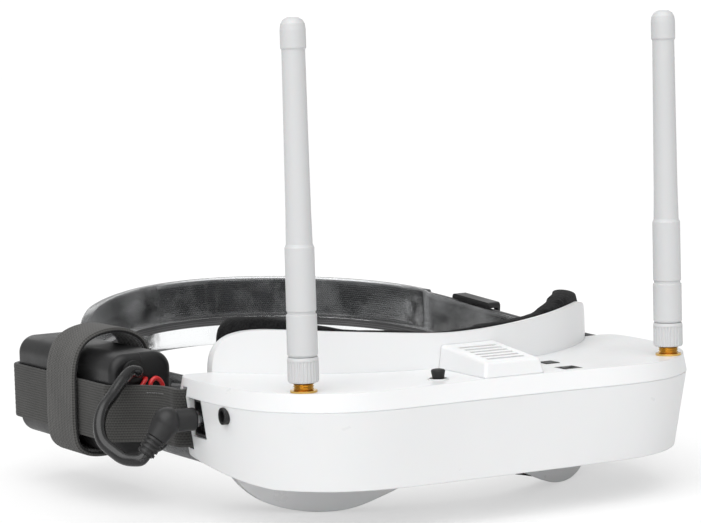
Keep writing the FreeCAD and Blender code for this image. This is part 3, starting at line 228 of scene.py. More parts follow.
M["elastic"] = threads("elastic", (0.062, 0.061, 0.058), (0.016, 0.016, 0.0155), 0.00085, 0.0009, 0.00007, 0.8, fuzz=0.7, sheen=0.12)
M["elastic_inner"] = threads("elastic_inner", (0.125, 0.125, 0.127), (0.045, 0.045, 0.046), 0.00085, 0.0009, 0.00006, 0.7, fuzz=0.5, sheen=0.15)
M["webbing"] = threads("webbing", (0.098, 0.096, 0.092), (0.022, 0.022, 0.021), 0.00105, 0.0009, 0.00010, 0.88, fuzz=0.9, cross=0.45, sheen=0.15)
M["webbing_inner"] = threads("webbing_inner", (0.014, 0.014, 0.014), (0.004, 0.004, 0.004), 0.0012, 0.0012, 0.00020, 0.92, fuzz=1.0)
M["thread"] = threads("thread", (0.17, 0.17, 0.17), (0.05, 0.05, 0.05), 0.0005, 0.0006, 0.00005, 0.7)


def foam_mat():
    m = Nodes("foam")
    cells = m.n("ShaderNodeTexVoronoi")
    m.put(cells, "Vector", m.co.outputs["Object"])
    m.put(cells, "Scale", 1500.0)
    d = cells.outputs["Distance"]
    h = m.math("ADD", m.math("MULTIPLY", d, 0.8), m.noise(420.0, 6.0))
    col = m.mix(m.ramp(h, 0.5, 1.3), (0.003, 0.003, 0.0033), (0.014, 0.014, 0.0145))
    bn = m.bump(h, 0.8, 0.00022)
    p = m.bsdf(Base_Color=col, Roughness=0.95, Normal=bn)
    m.put(p, "Sheen Weight", 0.05)
    m.put(p, "Sheen Roughness", 0.5)
    m.put(p, "Specular IOR Level", 0.12)
    return m.end(p.outputs[0])


def clear_mat():
    """clear bent plastic strip: see-through face-on, white glints, milky scuffs from noise, and a painted white sheen
    that grows at grazing angles
    """
    m = Nodes("clear_plastic")
    lw = m.n("ShaderNodeLayerWeight")
    m.put(lw, "Blend", 0.35)
    scuff = m.ramp(m.noise(38.0, 7.0, 0.65), 0.52, 0.74, 0.0, 0.10)
    bn = m.bump(m.noise(42.0, 3.0), 0.35, 0.0009)
    tr = m.n("ShaderNodeBsdfTransparent")
    m.put(tr, "Color", (0.965, 0.972, 0.975))
    gl = m.n("ShaderNodeBsdfGlossy")
    m.put(gl, "Color", (1.0, 1.0, 1.0))
    m.put(gl, "Roughness", m.ramp(m.noise(120.0, 4.0), 0.3, 0.7, 0.05, 0.16))
    m.put(gl, "Normal", bn)
    df = m.n("ShaderNodeBsdfDiffuse")
    m.put(df, "Color", (0.86, 0.87, 0.88))
    fr = m.n("ShaderNodeFresnel")
    m.put(fr, "IOR", 1.42)
    m.put(fr, "Normal", bn)
    a = m.n("ShaderNodeMixShader")
    m.put(a, 0, m.math("MULTIPLY", fr.outputs[0], 1.15))
    m.t.links.new(tr.outputs[0], a.inputs[1])
    m.t.links.new(gl.outputs[0], a.inputs[2])
    b = m.n("ShaderNodeMixShader")
    # white diffuse mixed in by the noise scuffs (real) plus Facing cubed, which is a painted white sheen at grazing
    # angles
    m.put(b, 0, m.math("ADD", scuff, m.math("MULTIPLY", m.math("POWER", lw.outputs["Facing"], 3.0), 0.35)))
    m.t.links.new(a.outputs[0], b.inputs[1])
    m.t.links.new(df.outputs[0], b.inputs[2])
    return m.end(b.outputs[0])


def glass_mat(name, tint_c, rough, trans=1.0):
    m = Nodes(name)
    rg = m.ramp(m.noise(60.0, 5.0), 0.3, 0.7, rough, rough + 0.04)
    p = m.bsdf(Base_Color=tint_c, Roughness=rg, Normal=m.bump(m.noise(90.0, 2.0), 0.05, 0.00002))
    m.put(p, "Transmission Weight", trans)
    m.put(p, "IOR", 1.5)
    m.put(p, "Coat Weight", 0.6)
    m.put(p, "Coat Tint", (0.72, 0.62, 1.0))
    return m.end(p.outputs[0])


def board_mat():
    m = Nodes("circuit_board")
    b = m.n("ShaderNodeTexBrick")
    m.put(b, "Vector", m.co.outputs["Object"])
    m.put(b, "Scale", 190.0)
    m.put(b, "Color1", (0.004, 0.055, 0.03))
    m.put(b, "Color2", (0.006, 0.075, 0.04))
    m.put(b, "Mortar", (0.012, 0.12, 0.065))
    m.put(b, "Mortar Size", 0.03)
    pads = m.ramp(m.noise(700.0, 1.0), 0.66, 0.68)
    col = m.mix(pads, b.outputs["Color"], (0.55, 0.50, 0.36))
    p = m.bsdf(Base_Color=col, Roughness=m.ramp(pads, 0.0, 1.0, 0.35, 0.22), Normal=m.bump(b.outputs["Fac"], 0.3, 0.00003, m.bevel(0.0001)))
    m.put(p, "Metallic", m.math("MULTIPLY", pads, 0.8))
    return m.end(p.outputs[0])


def cord_mat(name, base, rough, hi):
    """soft cable jacket: slight orange peel and long drawn marks"""
    m = Nodes(name)
    mp = m.n("ShaderNodeMapping")
    m.put(mp, "Vector", m.co.outputs["UV"])
    m.put(mp, "Scale", (60.0, 900.0, 1.0))
    drawn = m.noise(1.0, 4.0, 0.6, mp.outputs[0])
    col = m.mix(m.ramp(drawn, 0.35, 0.7), base, hi)
    rg = m.ramp(m.noise(240.0, 5.0), 0.3, 0.7, rough - 0.06, rough + 0.1)
    bn = m.bump(m.math("ADD", drawn, m.noise(900.0, 3.0)), 0.3, 0.00005)
    p = m.bsdf(Base_Color=col, Roughness=rg, Normal=bn)
    m.put(p, "Coat Weight", 0.25)
    m.put(p, "Coat Roughness", 0.2)
    return m.end(p.outputs[0])


def plug_mat():
    """moulded plug body in black, metal barrel where it enters the socket"""
    m = Nodes("plug_black")
    s = m.n("ShaderNodeSeparateXYZ")
    m.put(s, 0, m.co.outputs["Object"])
    x = m.ramp(s.outputs[0], -0.08352, -0.08346)
    nrm = m.bevel(0.0004)
    col = m.mix(m.ramp(m.noise(30.0), 0.3, 0.7), (0.007, 0.007, 0.0075), (0.012, 0.012, 0.0125))
    col = m.mix(m.edge(nrm, 0.4), col, (0.05, 0.05, 0.05))
    col = m.mix(x, col, (0.66, 0.66, 0.67))
    rg = m.ramp(m.noise(70.0, 6.0), 0.25, 0.75, 0.34, 0.5)
    rg2 = m.n("ShaderNodeMix", data_type="FLOAT")
    m.put(rg2, 0, x)
    m.put(rg2, 2, rg)
    m.put(rg2, 3, 0.22)
    p = m.bsdf(Base_Color=col, Roughness=rg2.outputs[0], Metallic=x, Normal=m.bump(m.noise(1800.0, 3.0), 0.35, 0.00004, nrm))
    return m.end(p.outputs[0])


M["foam"] = foam_mat()
M["clear_plastic"] = clear_mat()
M["lens"] = glass_mat("lens", (0.95, 0.96, 1.0), 0.01)
M["panel_glass"] = hard("panel_glass", (0.008, 0.009, 0.012), 0.06, (0.10, 0.10, 0.12), 0.3, 0.0002, 0.2, 300.0, 0.000004, 0.1, coat=0.8, rough_var=0.03)
M["circuit_board"] = board_mat()
M["cable_black"] = cord_mat("cable_black", (0.004, 0.004, 0.0042), 0.26, (0.009, 0.009, 0.0095))
M["red_wire"] = cord_mat("red_wire", (0.52, 0.010, 0.012), 0.35, (0.66, 0.03, 0.03))
M["plug_black"] = plug_mat()

for sp_ in frame["record"]["subparts"]:
    ob = frame["nodes"][sp_["node"]]
    ob.data.materials.clear()
    ob.data.materials.append(M[sp_["material_slot"]])


# ------------------------------------------------------------------ geometry helpers
def cat(P, n):
    """smooth line through points"""
    out = []
    m = len(P)
    for i in range(m - 1):
        p0, p1, p2, p3 = P[max(i - 1, 0)], P[i], P[i + 1], P[min(i + 2, m - 1)]
        for j in range(n):
            q = j / n
            out.append((p1 * 2 + (p2 - p0) * q + (p0 * 2 - p1 * 5 + p2 * 4 - p3) * q * q + (p1 * 3 - p0 - p2 * 3 + p3) * q ** 3) * 0.5)
    out.append(P[-1].copy())
    return out


def flat_frames(P, closed=False):
    """in-plane normals of a plan path"""
    n = len(P)
    out = []
    for i in range(n):
        a = P[(i - 1) % n] if closed else P[max(i - 1, 0)]
        b = P[(i + 1) % n] if closed else P[min(i + 1, n - 1)]
        t = Vector((b.x - a.x, b.y - a.y, 0)).normalized()
        out.append(Vector((-t.y, t.x, 0)))
    return out


def make(name, verts, faces, uvs, mats, fmat=None, smooth=True):
    me = bpy.data.meshes.new(name)
    me.from_pydata([tuple(v) for v in verts], [], faces)
    uv = me.uv_layers.new(name="UVMap")
    k = 0
    for fi, f in enumerate(faces):
        for vi, _ in enumerate(f):
            uv.data[k].uv = uvs[fi][vi]
            k += 1
    for m_ in mats:
        me.materials.append(m_)
    if fmat is not None:
        me.polygons.foreach_set("material_index", fmat)
    me.polygons.foreach_set("use_smooth", [smooth] * len(faces))
    me.validate()
    me.update()
    ob = bpy.data.objects.new(name, me)
    bpy.context.scene.collection.objects.link(ob)
    return ob


def sweep(name, rings, mats, side=None, closed=False, smooth=True):
    """skin of a run of equal rings (lists of points). side(j) gives the material index of ring edge j."""
    n, m = len(rings), len(rings[0])
    verts = [p for r in rings for p in r]
    run = [0.0]
    cen = [sum(r, Vector()) / m for r in rings]
    for i in range(1, n):
        run.append(run[-1] + (cen[i] - cen[i - 1]).length)
    if closed:
        run.append(run[-1] + (cen[0] - cen[-1]).length)
    arc = [0.0]
    for j in range(m):
        arc.append(arc[-1] + (rings[n // 2][(j + 1) % m] - rings[n // 2][j]).length)
    faces, uvs, fm = [], [], []
    for i in range(n if closed else n - 1):
        i2 = (i + 1) % n
        for j in range(m):
            j2 = (j + 1) % m
            faces.append((i * m + j, i * m + j2, i2 * m + j2, i2 * m + j))
            uvs.append(((run[i], arc[j]), (run[i], arc[j + 1]), (run[i + 1], arc[j + 1]), (run[i + 1], arc[j])))
            fm.append(side(j) if side else 0)
    if not closed:
        faces.append(tuple(range(m))[::-1])
        uvs.append(tuple((0.0, arc[j]) for j in range(m))[::-1])
        fm.append(0)
        faces.append(tuple((n - 1) * m + j for j in range(m)))
        uvs.append(tuple((run[-1], arc[j]) for j in range(m)))
        fm.append(0)
    ob = make(name, verts, faces, uvs, mats, fm, smooth)
    bm = bmesh.new()
    bm.from_mesh(ob.data)
    bmesh.ops.recalc_face_normals(bm, faces=bm.faces)
    bm.to_mesh(ob.data)
    bm.free()
    return ob


def band_profile(thk, width, nw, rib=0.0, edge=0.45):
    """cross outline of a woven band: (across thickness, across width), rounded selvedges, slight ribs. Returns points and face sides."""
    pts, tags = [], []
    h, t = width / 2, thk / 2
    for i in range(nw + 1):
        f = i / nw
        z = -h + edge + (width - 2 * edge) * f
        k = rib * (1 if i % 2 else -1)
        pts.append((t + k, z))
        tags.append(0)
    for a in (22.5, 45, 67.5):
        r = math.radians(a)
        pts.append((t * math.cos(r), h - edge + edge * math.sin(r)))
        tags.append(0)
    pts.append((0.0, h))
    tags.append(1)
    for a in (112.5, 135, 157.5):
        r = math.radians(a)
        pts.append((t * math.cos(r), h - edge + edge * math.sin(r)))
        tags.append(1)
    for i in range(nw + 1):
        f = i / nw
        z = h - edge - (width - 2 * edge) * f
        k = rib * (1 if i % 2 else -1)
        pts.append((-t - k, z))
        tags.append(1)
    for a in (202.5, 225, 247.5):
        r = math.radians(a)
        pts.append((t * math.cos(r), -h + edge + edge * math.sin(r)))
        tags.append(1)
    pts.append((0.0, -h))
    tags.append(0)
    for a in (292.5, 315, 337.5):
        r = math.radians(a)
        pts.append((t * math.cos(r), -h + edge + edge * math.sin(r)))
        tags.append(0)
    return pts, tags


def tube(name, P, r, n, sides, mat, closed_caps=True):
    Q = cat(P, n)
    rings = []
    u = None
    for i, p in enumerate(Q):
        t = (Q[min(i + 1, len(Q) - 1)] - Q[max(i - 1, 0)]).normalized()
        if u is None:
            u = t.cross(Vector((0, 0, 1)) if abs(t.z) < 0.9 else Vector((1, 0, 0)))
        u = (u - t * u.dot(t)).normalized()
        w = t.cross(u)
        rings.append([(p + u * (r * math.cos(2 * math.pi * k / sides)) + w * (r * math.sin(2 * math.pi * k / sides))) * MM for k in range(sides)])
    return sweep(name, rings, [mat])


# battery frame
YAW = math.radians(5.31)
UX, UY, BO = Vector((math.cos(YAW), math.sin(YAW), 0)), Vector((-math.sin(YAW), math.cos(YAW), 0)), Vector((-98.8, 73.0, 0))


def bat(x, y, z=0.0):
    return BO + UX * x + UY * y + Vector((0, 0, z))


def V(*a):
    return Vector(a)


# ------------------------------------------------------------------ head strap
SW, ST = 18.5, 1.7
sp = [V(-81.7, 63.6, 0), V(-79.2, 59.8, 0), V(-77.4, 56.0, 0), V(-77.4, 51.8, 0), V(-78.4, 49.7, 0), V(-81.0, 49.3, 0),
      V(-83.9, 49.5, 0), V(-85.3, 51.5, 0), V(-85.5, 56.0, 0), V(-86.8, 62.0, 0), V(-91.5, 67.6, 0)]
sp += [bat(-0.5, -0.2), bat(-1.45, 3.6), bat(-1.35, 20), bat(-1.35, 40), bat(-1.35, 66), bat(-0.6, 73.6), bat(3.4, 77.2), bat(9.5, 79.4)]
sp += [V(*p, 0) for p in ((-85, 156.4), (-78.4, 161.6), (-73.2, 168.8), (-68, 177.6), (-61.6, 187.6), (-53, 198.4), (-43, 208), (-31, 216.6),
                          (-16, 222.8), (0, 225), (16, 222.8), (31, 217), (45, 208), (56, 197.4), (64, 184.8), (69, 170), (71.6, 154),
                          (73.2, 138), (74.8, 122), (76.6, 106), (78.8, 90), (81.6, 76), (84.2, 65), (85.5, 56), (85.3, 51.5),
                          (83.9, 49.5), (81, 49.3), (78.4, 49.7), (77.4, 51.8), (77.4, 56), (78.6, 60.2), (80.2, 64.6))]
PN = 8
path = cat(sp, PN)


def left_z(p):
    if p.x < -60 and p.y < 152:
        return 17.4
    base = 17.4 + max(0.0, p.y - 52.0) * 0.0895
    if p.x < -40:
        f = min(1.0, max(0.0, (p.y - 152.0) / 30.0))
        f = f * f * (3 - 2 * f)
        return 17.4 + (base - 17.4) * f
    return base


zm = [left_z(p) for p in path]
for it in range(48):
    zm = [zm[0]] + [(zm[i - 1] + 2 * zm[i] + zm[i + 1]) / 4 for i in range(1, len(zm) - 1)] + [zm[-1]]
nr = flat_frames(path)
prof, tags = band_profile(ST, SW, 22, 0.035)
rings = []
for i, p in enumerate(path):
    rings.append([(Vector((p.x, p.y, zm[i])) + nr[i] * a + Vector((0, 0, b))) * MM for a, b in prof])
strap = sweep("head_strap_woven", rings, [M["elastic"], M["elastic_inner"]], lambda j: tags[j])
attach(strap, "root")
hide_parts("head_strap")

# rows of stitches near both sewn loops
SE, SO = [], []


def stitches(name, y_from, y_to, left):
    verts, faces, uvs = [], [], []
    idx = [i for i, p in enumerate(path) if (p.x < -84 if left else p.x > 78) and y_from < p.y < y_to]
    if len(idx) < 3:
        return None
    pieces_ = []
    s = 0.0
    for k in range(1, len(idx)):
        a, b = path[idx[k - 1]], path[idx[k]]
        if idx[k] - idx[k - 1] != 1:
            continue
        pieces_.append((idx[k - 1], idx[k]))
    obs = []
    for row in (-6.9, 6.9):
        acc = 0.0
        for a, b in pieces_:
            pa, pb = path[a], path[b]
            L = (pb - pa).length
            n_ = max(1, int(round(L / 1.9)))
            for q in range(n_):
                f0, f1 = (q + 0.14) / n_, (q + 0.86) / n_
                for sg in (-1, 1):
                    c = []
                    for f, lift in ((f0, -0.05), ((f0 + f1) / 2, 0.16), (f1, -0.05)):
                        pt = pa.lerp(pb, f)
                        nn = nr[a].lerp(nr[b], f).normalized()
                        c.append(Vector((pt.x, pt.y, zm[a] + (zm[b] - zm[a]) * f + row)) + nn * sg * (ST / 2 + lift))
                    base = len(verts)
                    t = (c[2] - c[0]).normalized()
                    nn = nr[a] * sg
                    w = t.cross(nn).normalized()
                    for cc in c:
                        for kk in range(5):
                            an = 2 * math.pi * kk / 5
                            verts.append((cc + nn * 0.17 * math.cos(an) + w * 0.17 * math.sin(an)) * MM)
                    for r_ in range(2):
                        for kk in range(5):
                            k2 = (kk + 1) % 5
                            faces.append((base + r_ * 5 + kk, base + r_ * 5 + k2, base + r_ * 5 + 5 + k2, base + r_ * 5 + 5 + kk))
                            uvs.append(((0, kk * 2e-4), (0, k2 * 2e-4), (1e-3, k2 * 2e-4), (1e-3, kk * 2e-4)))
                    for r_, o_ in ((0, 1), (2, -1)):
                        f_ = tuple(base + r_ * 5 + kk for kk in range(5))
                        faces.append(f_[::-1] if o_ > 0 else f_)
                        uvs.append(tuple((0.0, 0.0) for _ in range(5)))
    ob = make(name, verts, faces, uvs, [M["thread"]])
    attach(ob, "root")
    return ob


stitches("strap_stitches_right", 58.5, 66.0, True)
stitches("strap_stitches_left", 60.0, 74.0, False)

# ------------------------------------------------------------------ clear former strip
FH, FT = 27.0, 0.6
g0 = ST / 2 + 0.3
um = g0 + FT / 2


def film_profile(top_r=0.55):
    """outline of the folded strip: outer leg, fold over the strap, short inner flap"""
    mid = []
    for k in range(13):
        mid.append((um, -FH + (FH - FT / 2 - top_r) * k / 12))
    for k in range(1, 6):
        a = math.pi / 2 * k / 5
        mid.append((um - top_r + top_r * math.cos(a), -FT / 2 - top_r + top_r * math.sin(a)))
    for k in range(1, 6):
        a = math.pi / 2 + math.pi / 2 * k / 5
        mid.append((-um + top_r + top_r * math.cos(a), -FT / 2 - top_r + top_r * math.sin(a)))
    for k in range(1, 9):
        mid.append((-um, -FT / 2 - top_r - (16.0 - FT / 2 - top_r) * k / 8))
    out, inn = [], []
    n = len(mid)
    for i, (u, w) in enumerate(mid):
        a, b = mid[max(i - 1, 0)], mid[min(i + 1, n - 1)]
        tx, tz = b[0] - a[0], b[1] - a[1]
        l = math.hypot(tx, tz)
        out.append((u + tz / l * FT / 2, w - tx / l * FT / 2))
        inn.append((u - tz / l * FT / 2, w + tx / l * FT / 2))
    return out + inn[::-1]


ib = [i for i, p in enumerate(path) if p.y > 168.0]
SGN = 1.0 if (path[ib[len(ib) // 2]] + nr[ib[len(ib) // 2]]).y > path[ib[len(ib) // 2]].y else -1.0
fp = film_profile()
rings = []
for i in ib:
    top = zm[i] + SW / 2 + 0.8
    p = path[i]
    rings.append([(Vector((p.x, p.y, top + w)) + nr[i] * (u * SGN)) * MM for u, w in fp])
film = sweep("former_back", rings, [M["clear_plastic"]])
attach(film, "root")
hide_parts("strap_former")


def film_band(name, pts, z0f, z1f, n=10):
    """upright clear strip along plan points, with its own low and high edges"""
    Q = cat(pts, n)
    nn = flat_frames(Q)
    rs = []
    for i, p in enumerate(Q):
        z0, z1 = z0f(p), z1f(p)
        r = []
        for k in range(9):
            r.append((Vector((p.x, p.y, z0 + (z1 - z0) * k / 8)) + nn[i] * (FT / 2)) * MM)
        for k in range(9):
            r.append((Vector((p.x, p.y, z1 + (z0 - z1) * k / 8)) - nn[i] * (FT / 2)) * MM)
        rs.append(r)
    ob = sweep(name, rs, [M["clear_plastic"]])
    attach(ob, "root")
    return ob


a0, a1 = ib[0], ib[-1]
top0 = zm[a0] + SW / 2 + 0.8
j0 = path[a0] + nr[a0] * (SGN * um)


def lz1(p):
    f = min(1.0, max(0.0, (p.y - 120.0) / 48.0))
    f = f * f * (3 - 2 * f)
    return (1 - f) * (17.4 + SW / 2 + 0.8) + f * top0


def lz0(p):
    f = min(1.0, max(0.0, (p.y - 120.0) / 48.0))
    f = f * f * (3 - 2 * f)
    return max(0.3, lz1(p) - FH - 1.4 * (1 - f))


LS = [V(-78.0, 160.0, 0), V(-80.2, 152.0, 0), V(-80.4, 141.0, 0), V(-78.4, 128.0, 0), V(-76.2, 112.0, 0), V(-74.9, 96.0, 0), V(-74.0, 80.0, 0),
      V(-72.8, 66.0, 0), V(-72.6, 60.2, 0)]
full = [p for p in LS if p.y < 151.0]
film_band("former_side_right", [V(-80.3, 150.3, 0)] + full, lz0, lz1)
zc = zm[min(range(len(path)), key=lambda i: (path[i] - V(-78.6, 161.5, 0)).length)]
film_band("former_sill", [V(j0.x, j0.y, 0), V(-77.6, 161.0, 0), V(-80.2, 152.0, 0), V(-80.3, 150.25, 0)], lz0, lambda p: zc - SW / 2 - 0.9)
film_band("former_tongue", [V(-72.6, 60.15, 0), V(-72.4, 50.0, 0), V(-72.0, 38.0, 0)], lambda p: 0.3, lambda p: 0.3 + 3.0 + (p.y - 38.0) / 22.0 * 1.6)
j1 = path[a1] - nr[a1] * (SGN * um)
RS = [V(j1.x, j1.y, 0), V(66.6, 160.0, 0), V(67.2, 150.0, 0), V(68.2, 136.0, 0), V(69.6, 120.0, 0), V(71.2, 106.0, 0), V(72.6, 92.0, 0), V(73.0, 78.0, 0)]


def rz1(p):
    return 17.4 + max(0.0, p.y - 52.0) * 0.0895 + SW / 2 + 0.8


film_band("former_side_left", RS, lambda p: rz1(p) - 16.0, rz1)

# ------------------------------------------------------------------ battery strap
OV = [(-2.9, 19.0), (-2.9, 10.0), (-1.9, 4.8), (2.4, 2.3), (11.0, 2.1), (19.2, 2.5), (22.5, 7.0), (22.9, 18.0), (22.7, 31.0), (20.6, 37.2), (14.0, 40.4),
      (6.0, 40.0), (0.2, 36.8), (-2.5, 30.0)]


def loop_line(P, n):
    m = len(P)
    out = []
    for i in range(m):
        p0, p1, p2, p3 = (V(*P[(i + k) % m], 0) for k in (-1, 0, 1, 2))
        for j in range(n):
            q = j / n
            out.append((p1 * 2 + (p2 - p0) * q + (p0 * 2 - p1 * 5 + p2 * 4 - p3) * q * q + (p1 * 3 - p0 - p2 * 3 + p3) * q ** 3) * 0.5)
    return out


line = loop_line(OV, 12)
BW, BT = 20.6, 1.8
bprof, btags = band_profile(BT, BW, 20, 0.05, 0.6)
ln = flat_frames(line, True)
cen2 = sum(line, Vector()) / len(line)
rings = []
for i, q in enumerate(line):
    nn = ln[i] if (q + ln[i] - cen2).length > (q - cen2).length else -ln[i]
    ph = 2 * math.pi * i / len(line)
    r = []
    for a, b in bprof:
        bow = 0.22 * math.sin(3 * ph + 1.0)
        off = BT / 2 + 0.02 + a * 0.98
        x, z = q.x + nn.x * off, q.y + nn.y * off
        r.append(bat(x, 19.5 + BW / 2 + b * 0.99 + bow, z) * MM)
    rings.append(r)
bstrap = sweep("battery_strap_woven", rings, [M["webbing"], M["webbing_inner"]], lambda j: btags[j], closed=True)
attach(bstrap, "root")
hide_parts("battery_strap")

# ------------------------------------------------------------------ cable and wire
PX = -82.2
ND = Vector((-0.62, 0.03, -0.785)).normalized()
EC = Vector((PX - 10.4, 42.0, 18.2))
TIP = EC + ND * 12.2
GX, GZ = 7.6, 30.4
cab = [TIP + ND * 0.2, TIP + ND * 1.1, TIP + ND * 2.4 + V(-0.5, 0.4, 0.3), V(-105.2, 46.4, 7.2), V(-107.4, 49.6, 9.0), V(-109.9, 53.0, 12.4),
       V(-109.7, 56.0, 17.0), V(-107.0, 59.4, 21.4), V(-102.2, 63.0, 25.0), V(-97.6, 66.4, 28.6), V(-93.6, 69.2, 30.8),
       bat(GX, -3.6, GZ + 0.1), bat(GX, -2.8, GZ), bat(GX, -1.7, GZ)]
cable = tube("power_cable_jacket", cab, 1.95, 8, 24, M["cable_black"])
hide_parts("power_cable")
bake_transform(cable)

WX0, WZ0, WX1, WZ1 = 11.9, 27.4, 16.4, 18.0
rw = [bat(WX0, 0.6, WZ0), bat(WX0, -0.9, WZ0), bat(WX0 - 1.6, -2.4, WZ0 - 0.8), bat(WX0 - 3.4, -2.5, WZ0 - 3.4), bat(WX0 - 2.2, -2.6, WZ0 - 5.6),
      bat(WX0 - 0.1, -3.4, WZ0 - 3.4), bat(WX0 + 0.4, -3.6, WZ0 - 0.8), bat(WX0 + 2.2, -3.4, WZ0 + 0.4), bat(WX0 + 4.2, -3.0, WZ0 - 0.8),
      bat(WX0 + 5.2, -2.6, WZ0 - 3.6), bat(WX1 + 0.2, -1.2, WZ1 + 0.3), bat(WX1, 0.6, WZ1)]
wire = tube("red_wire_jacket", rw, 0.75, 10, 16, M["red_wire"])
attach(wire, "root")
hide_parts("red_wire")


# ------------------------------------------------------------------ foam pad
def foam_pad():
    src = frame["nodes"]["face_foam"]
    ob = src.copy()
    ob.data = src.data.copy()
    ob.name = "face_foam_soft"
    for k in list(ob.keys()):
        del ob[k]
    ob.parent = None
    ob.matrix_world = Matrix.Identity(4)
    ob.hide_render = ob.hide_viewport = False
    bpy.context.scene.collection.objects.link(ob)
    bpy.context.view_layer.objects.active = ob
    for o in bpy.context.selected_objects:
        o.select_set(False)
    ob.select_set(True)
    rm = ob.modifiers.new("remesh", "REMESH")
    rm.mode = "VOXEL"
    rm.voxel_size = 0.0021
    bpy.ops.object.modifier_apply(modifier=rm.name)
    sm = ob.modifiers.new("smooth", "SMOOTH")
    sm.factor, sm.iterations = 0.5, 3
    bpy.ops.object.modifier_apply(modifier=sm.name)
    n = len(ob.data.vertices)
    rest = np.zeros(n * 3, np.float32)
    ob.data.vertices.foreach_get("co", rest)
    rest = rest.reshape(-1, 3).copy()
    rad = np.hypot(rest[:, 0], rest[:, 1] - 0.102)
    hold = np.clip((rad - 0.0790) / 0.0014, 0, 1)
    vg = ob.vertex_groups.new(name="glued")
    for i in np.nonzero(hold > 0.02)[0]:
        vg.add([int(i)], float(hold[i]), "REPLACE")
    cl = ob.modifiers.new("puff", "CLOTH")
    st = cl.settings
    st.quality = 4
    st.mass = 0.3
    st.tension_stiffness = st.compression_stiffness = 30
    st.bending_stiffness = 2
    st.use_pressure = True
    st.uniform_pressure_force = 4.0
    st.effector_weights.gravity = 0
    st.vertex_group_mass = vg.name
    cl.collision_settings.use_collision = False
    cl.collision_settings.use_self_collision = False
    cl.point_cache.frame_start, cl.point_cache.frame_end = 1, 20
    for f in range(1, 21):
        bpy.context.scene.frame_set(f)
    dg = bpy.context.evaluated_depsgraph_get()
    ev = ob.evaluated_get(dg)
    me = ev.to_mesh()
    got = np.zeros(len(me.vertices) * 3, np.float32)
    me.vertices.foreach_get("co", got)
    ev.to_mesh_clear()
    got = got.reshape(-1, 3)
    ob.modifiers.remove(cl)
    bpy.context.scene.frame_set(1)
    if len(got) == n and np.isfinite(got).all():
        d = got - rest
        L = np.linalg.norm(d, axis=1)
        cap = 0.0009 * (1 - hold)
        k = np.where(L > 1e-9, np.minimum(L, cap) / np.maximum(L, 1e-9), 0)
        rest = rest + d * k[:, None]
        print("foam puffed", round(float((L * k).max()) * 1000, 3), "mm, verts", n)
    # keep clear of the plate it is glued to
    rad = np.hypot(rest[:, 0], rest[:, 1] - 0.102)
    over = rad > 0.08145
    s = np.where(over, 0.08145 / np.maximum(rad, 1e-9), 1.0)
    rest[:, 0] *= s
    rest[:, 1] = 0.102 + (rest[:, 1] - 0.102) * s
    ob.data.vertices.foreach_set("co", rest.astype(np.float32).ravel())
    ob.data.update()
    sub = ob.modifiers.new("sub", "SUBSURF")
    sub.levels = sub.render_levels = 1
    bpy.ops.object.modifier_apply(modifier=sub.name)
    ob.data.materials.clear()
    ob.data.materials.append(M["foam"])
    ob.data.polygons.foreach_set("use_smooth", [True] * len(ob.data.polygons))
    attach(ob, "root")
    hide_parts("face_foam")
    return ob


foam_pad()

# ------------------------------------------------------------------ stage
def stage_mat(name, c, rough):
    m = Nodes(name)
    col = m.mix(m.ramp(m.noise(1.4, 3.0), 0.3, 0.7), tint(c, 0.985), c)
    p = m.bsdf(Base_Color=col, Roughness=rough, Normal=m.bump(m.noise(300.0, 4.0), 0.05, 0.0001))
    m.put(p, "Specular IOR Level", 0.1)
    lp = m.n("ShaderNodeLightPath")
    low = m.n("ShaderNodeBsdfDiffuse")
    m.put(low, "Color", (0.72, 0.72, 0.72))
    glow = m.n("ShaderNodeEmission")
    m.put(glow, "Color", (1.0, 1.0, 1.0))
    m.put(glow, "Strength", 1.02)
    pale = m.n("ShaderNodeMixShader")
    m.put(pale, 0, 0.5)
    m.t.links.new(p.outputs[0], pale.inputs[1])
    m.t.links.new(glow.outputs[0], pale.inputs[2])
    mx = m.n("ShaderNodeMixShader")
    m.put(mx, 0, lp.outputs["Is Camera Ray"])
    m.t.links.new(low.outputs[0], mx.inputs[1])
    m.t.links.new(pale.outputs[0], mx.inputs[2])
    return m.end(mx.outputs[0])


me = bpy.data.meshes.new("floor")
R = 80.0
FZ = lo_a.z - 0.0003
me.from_pydata([(R * math.cos(a), R * math.sin(a), FZ) for a in [2 * math.pi * k / 64 for k in range(64)]], [], [tuple(range(64))])
floor = bpy.data.objects.new("floor", me)
bpy.context.scene.collection.objects.link(floor)
me.materials.append(stage_mat("floor", (0.96, 0.96, 0.96), 0.7))

w = bpy.data.worlds.new("studio")
bpy.context.scene.world = w
w.use_nodes = True
wt = w.node_tree
wt.nodes.clear()
wo = wt.nodes.new("ShaderNodeOutputWorld")
bg = wt.nodes.new("ShaderNodeBackground")
bg.inputs[0].default_value = (1.0, 1.0, 1.0, 1.0)
lpn = wt.nodes.new("ShaderNodeLightPath")
mr = wt.nodes.new("ShaderNodeMapRange")
mr.inputs["To Min"].default_value = 0.5
mr.inputs["To Max"].default_value = 1.04
wt.links.new(lpn.outputs["Is Camera Ray"], mr.inputs["Value"])
wt.links.new(mr.outputs["Result"], bg.inputs[1])
wt.links.new(bg.outputs[0], wo.inputs[0])


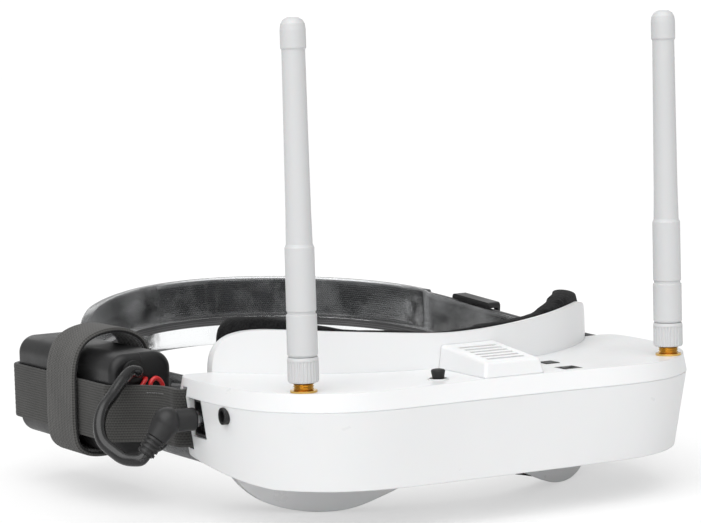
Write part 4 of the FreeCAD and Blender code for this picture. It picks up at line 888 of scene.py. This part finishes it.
def area(name, loc, target, size, power, color=(1, 1, 1)):
    L = bpy.data.lights.new(name, "AREA")
    L.shape = "RECTANGLE"
    L.size, L.size_y = size
    L.energy = power
    L.color = color
    o = bpy.data.objects.new(name, L)
    o.location = loc
    o.rotation_mode = "QUATERNION"
    o.rotation_quaternion = (Vector(target) - Vector(loc)).to_track_quat("-Z", "Y")
    bpy.context.scene.collection.objects.link(o)
    return o


SL = bpy.data.lights.new("sky_key", "SUN")
SL.energy, SL.angle = 2.2, math.radians(75)
so = bpy.data.objects.new("sky_key", SL)
so.rotation_mode = "QUATERNION"
so.rotation_quaternion = Vector((0.35, 0.36, -0.87)).to_track_quat("-Z", "Y")
bpy.context.scene.collection.objects.link(so)
area("left_softbox", (-0.9, -0.6, 0.35), (-0.03, 0.05, 0.03), (0.6, 0.6), 1.1)
area("low_fill", (-0.2, -0.9, 0.06), (0, 0.05, 0.0), (1.2, 0.25), 1.3)
area("back_strip", (0.3, 0.95, 0.5), (0, 0.1, 0.03), (0.9, 0.3), 0.8)

# camera at the viewing angle of the reference
a, pt, rl = math.radians(-26.755), math.radians(5.107), math.radians(1.655)
fwd = Vector((-math.sin(a) * math.cos(pt), math.cos(a) * math.cos(pt), -math.sin(pt)))
right = Vector((math.cos(a), math.sin(a), 0))
up = right.cross(fwd)
r2 = right * math.cos(rl) - up * math.sin(rl)
u2 = right * math.sin(rl) + up * math.cos(rl)
cd = bpy.data.cameras.new("cam")
cd.sensor_width, cd.sensor_fit = 36.0, "HORIZONTAL"
cd.lens = 114.61
cd.clip_start, cd.clip_end = 0.02, 60.0
cam = bpy.data.objects.new("cam", cd)
bpy.context.scene.collection.objects.link(cam)
back = -fwd
cam.matrix_world = Matrix(((r2.x, u2.x, back.x, -0.348202), (r2.y, u2.y, back.y, -0.594069), (r2.z, u2.z, back.z, 0.127312), (0, 0, 0, 1)))
bpy.context.scene.camera = cam
bpy.context.scene.view_settings.view_transform = "Standard"
bpy.context.scene.view_settings.look = "None"
bpy.context.scene.view_settings.exposure = 0.0

bpy.context.view_layer.update()
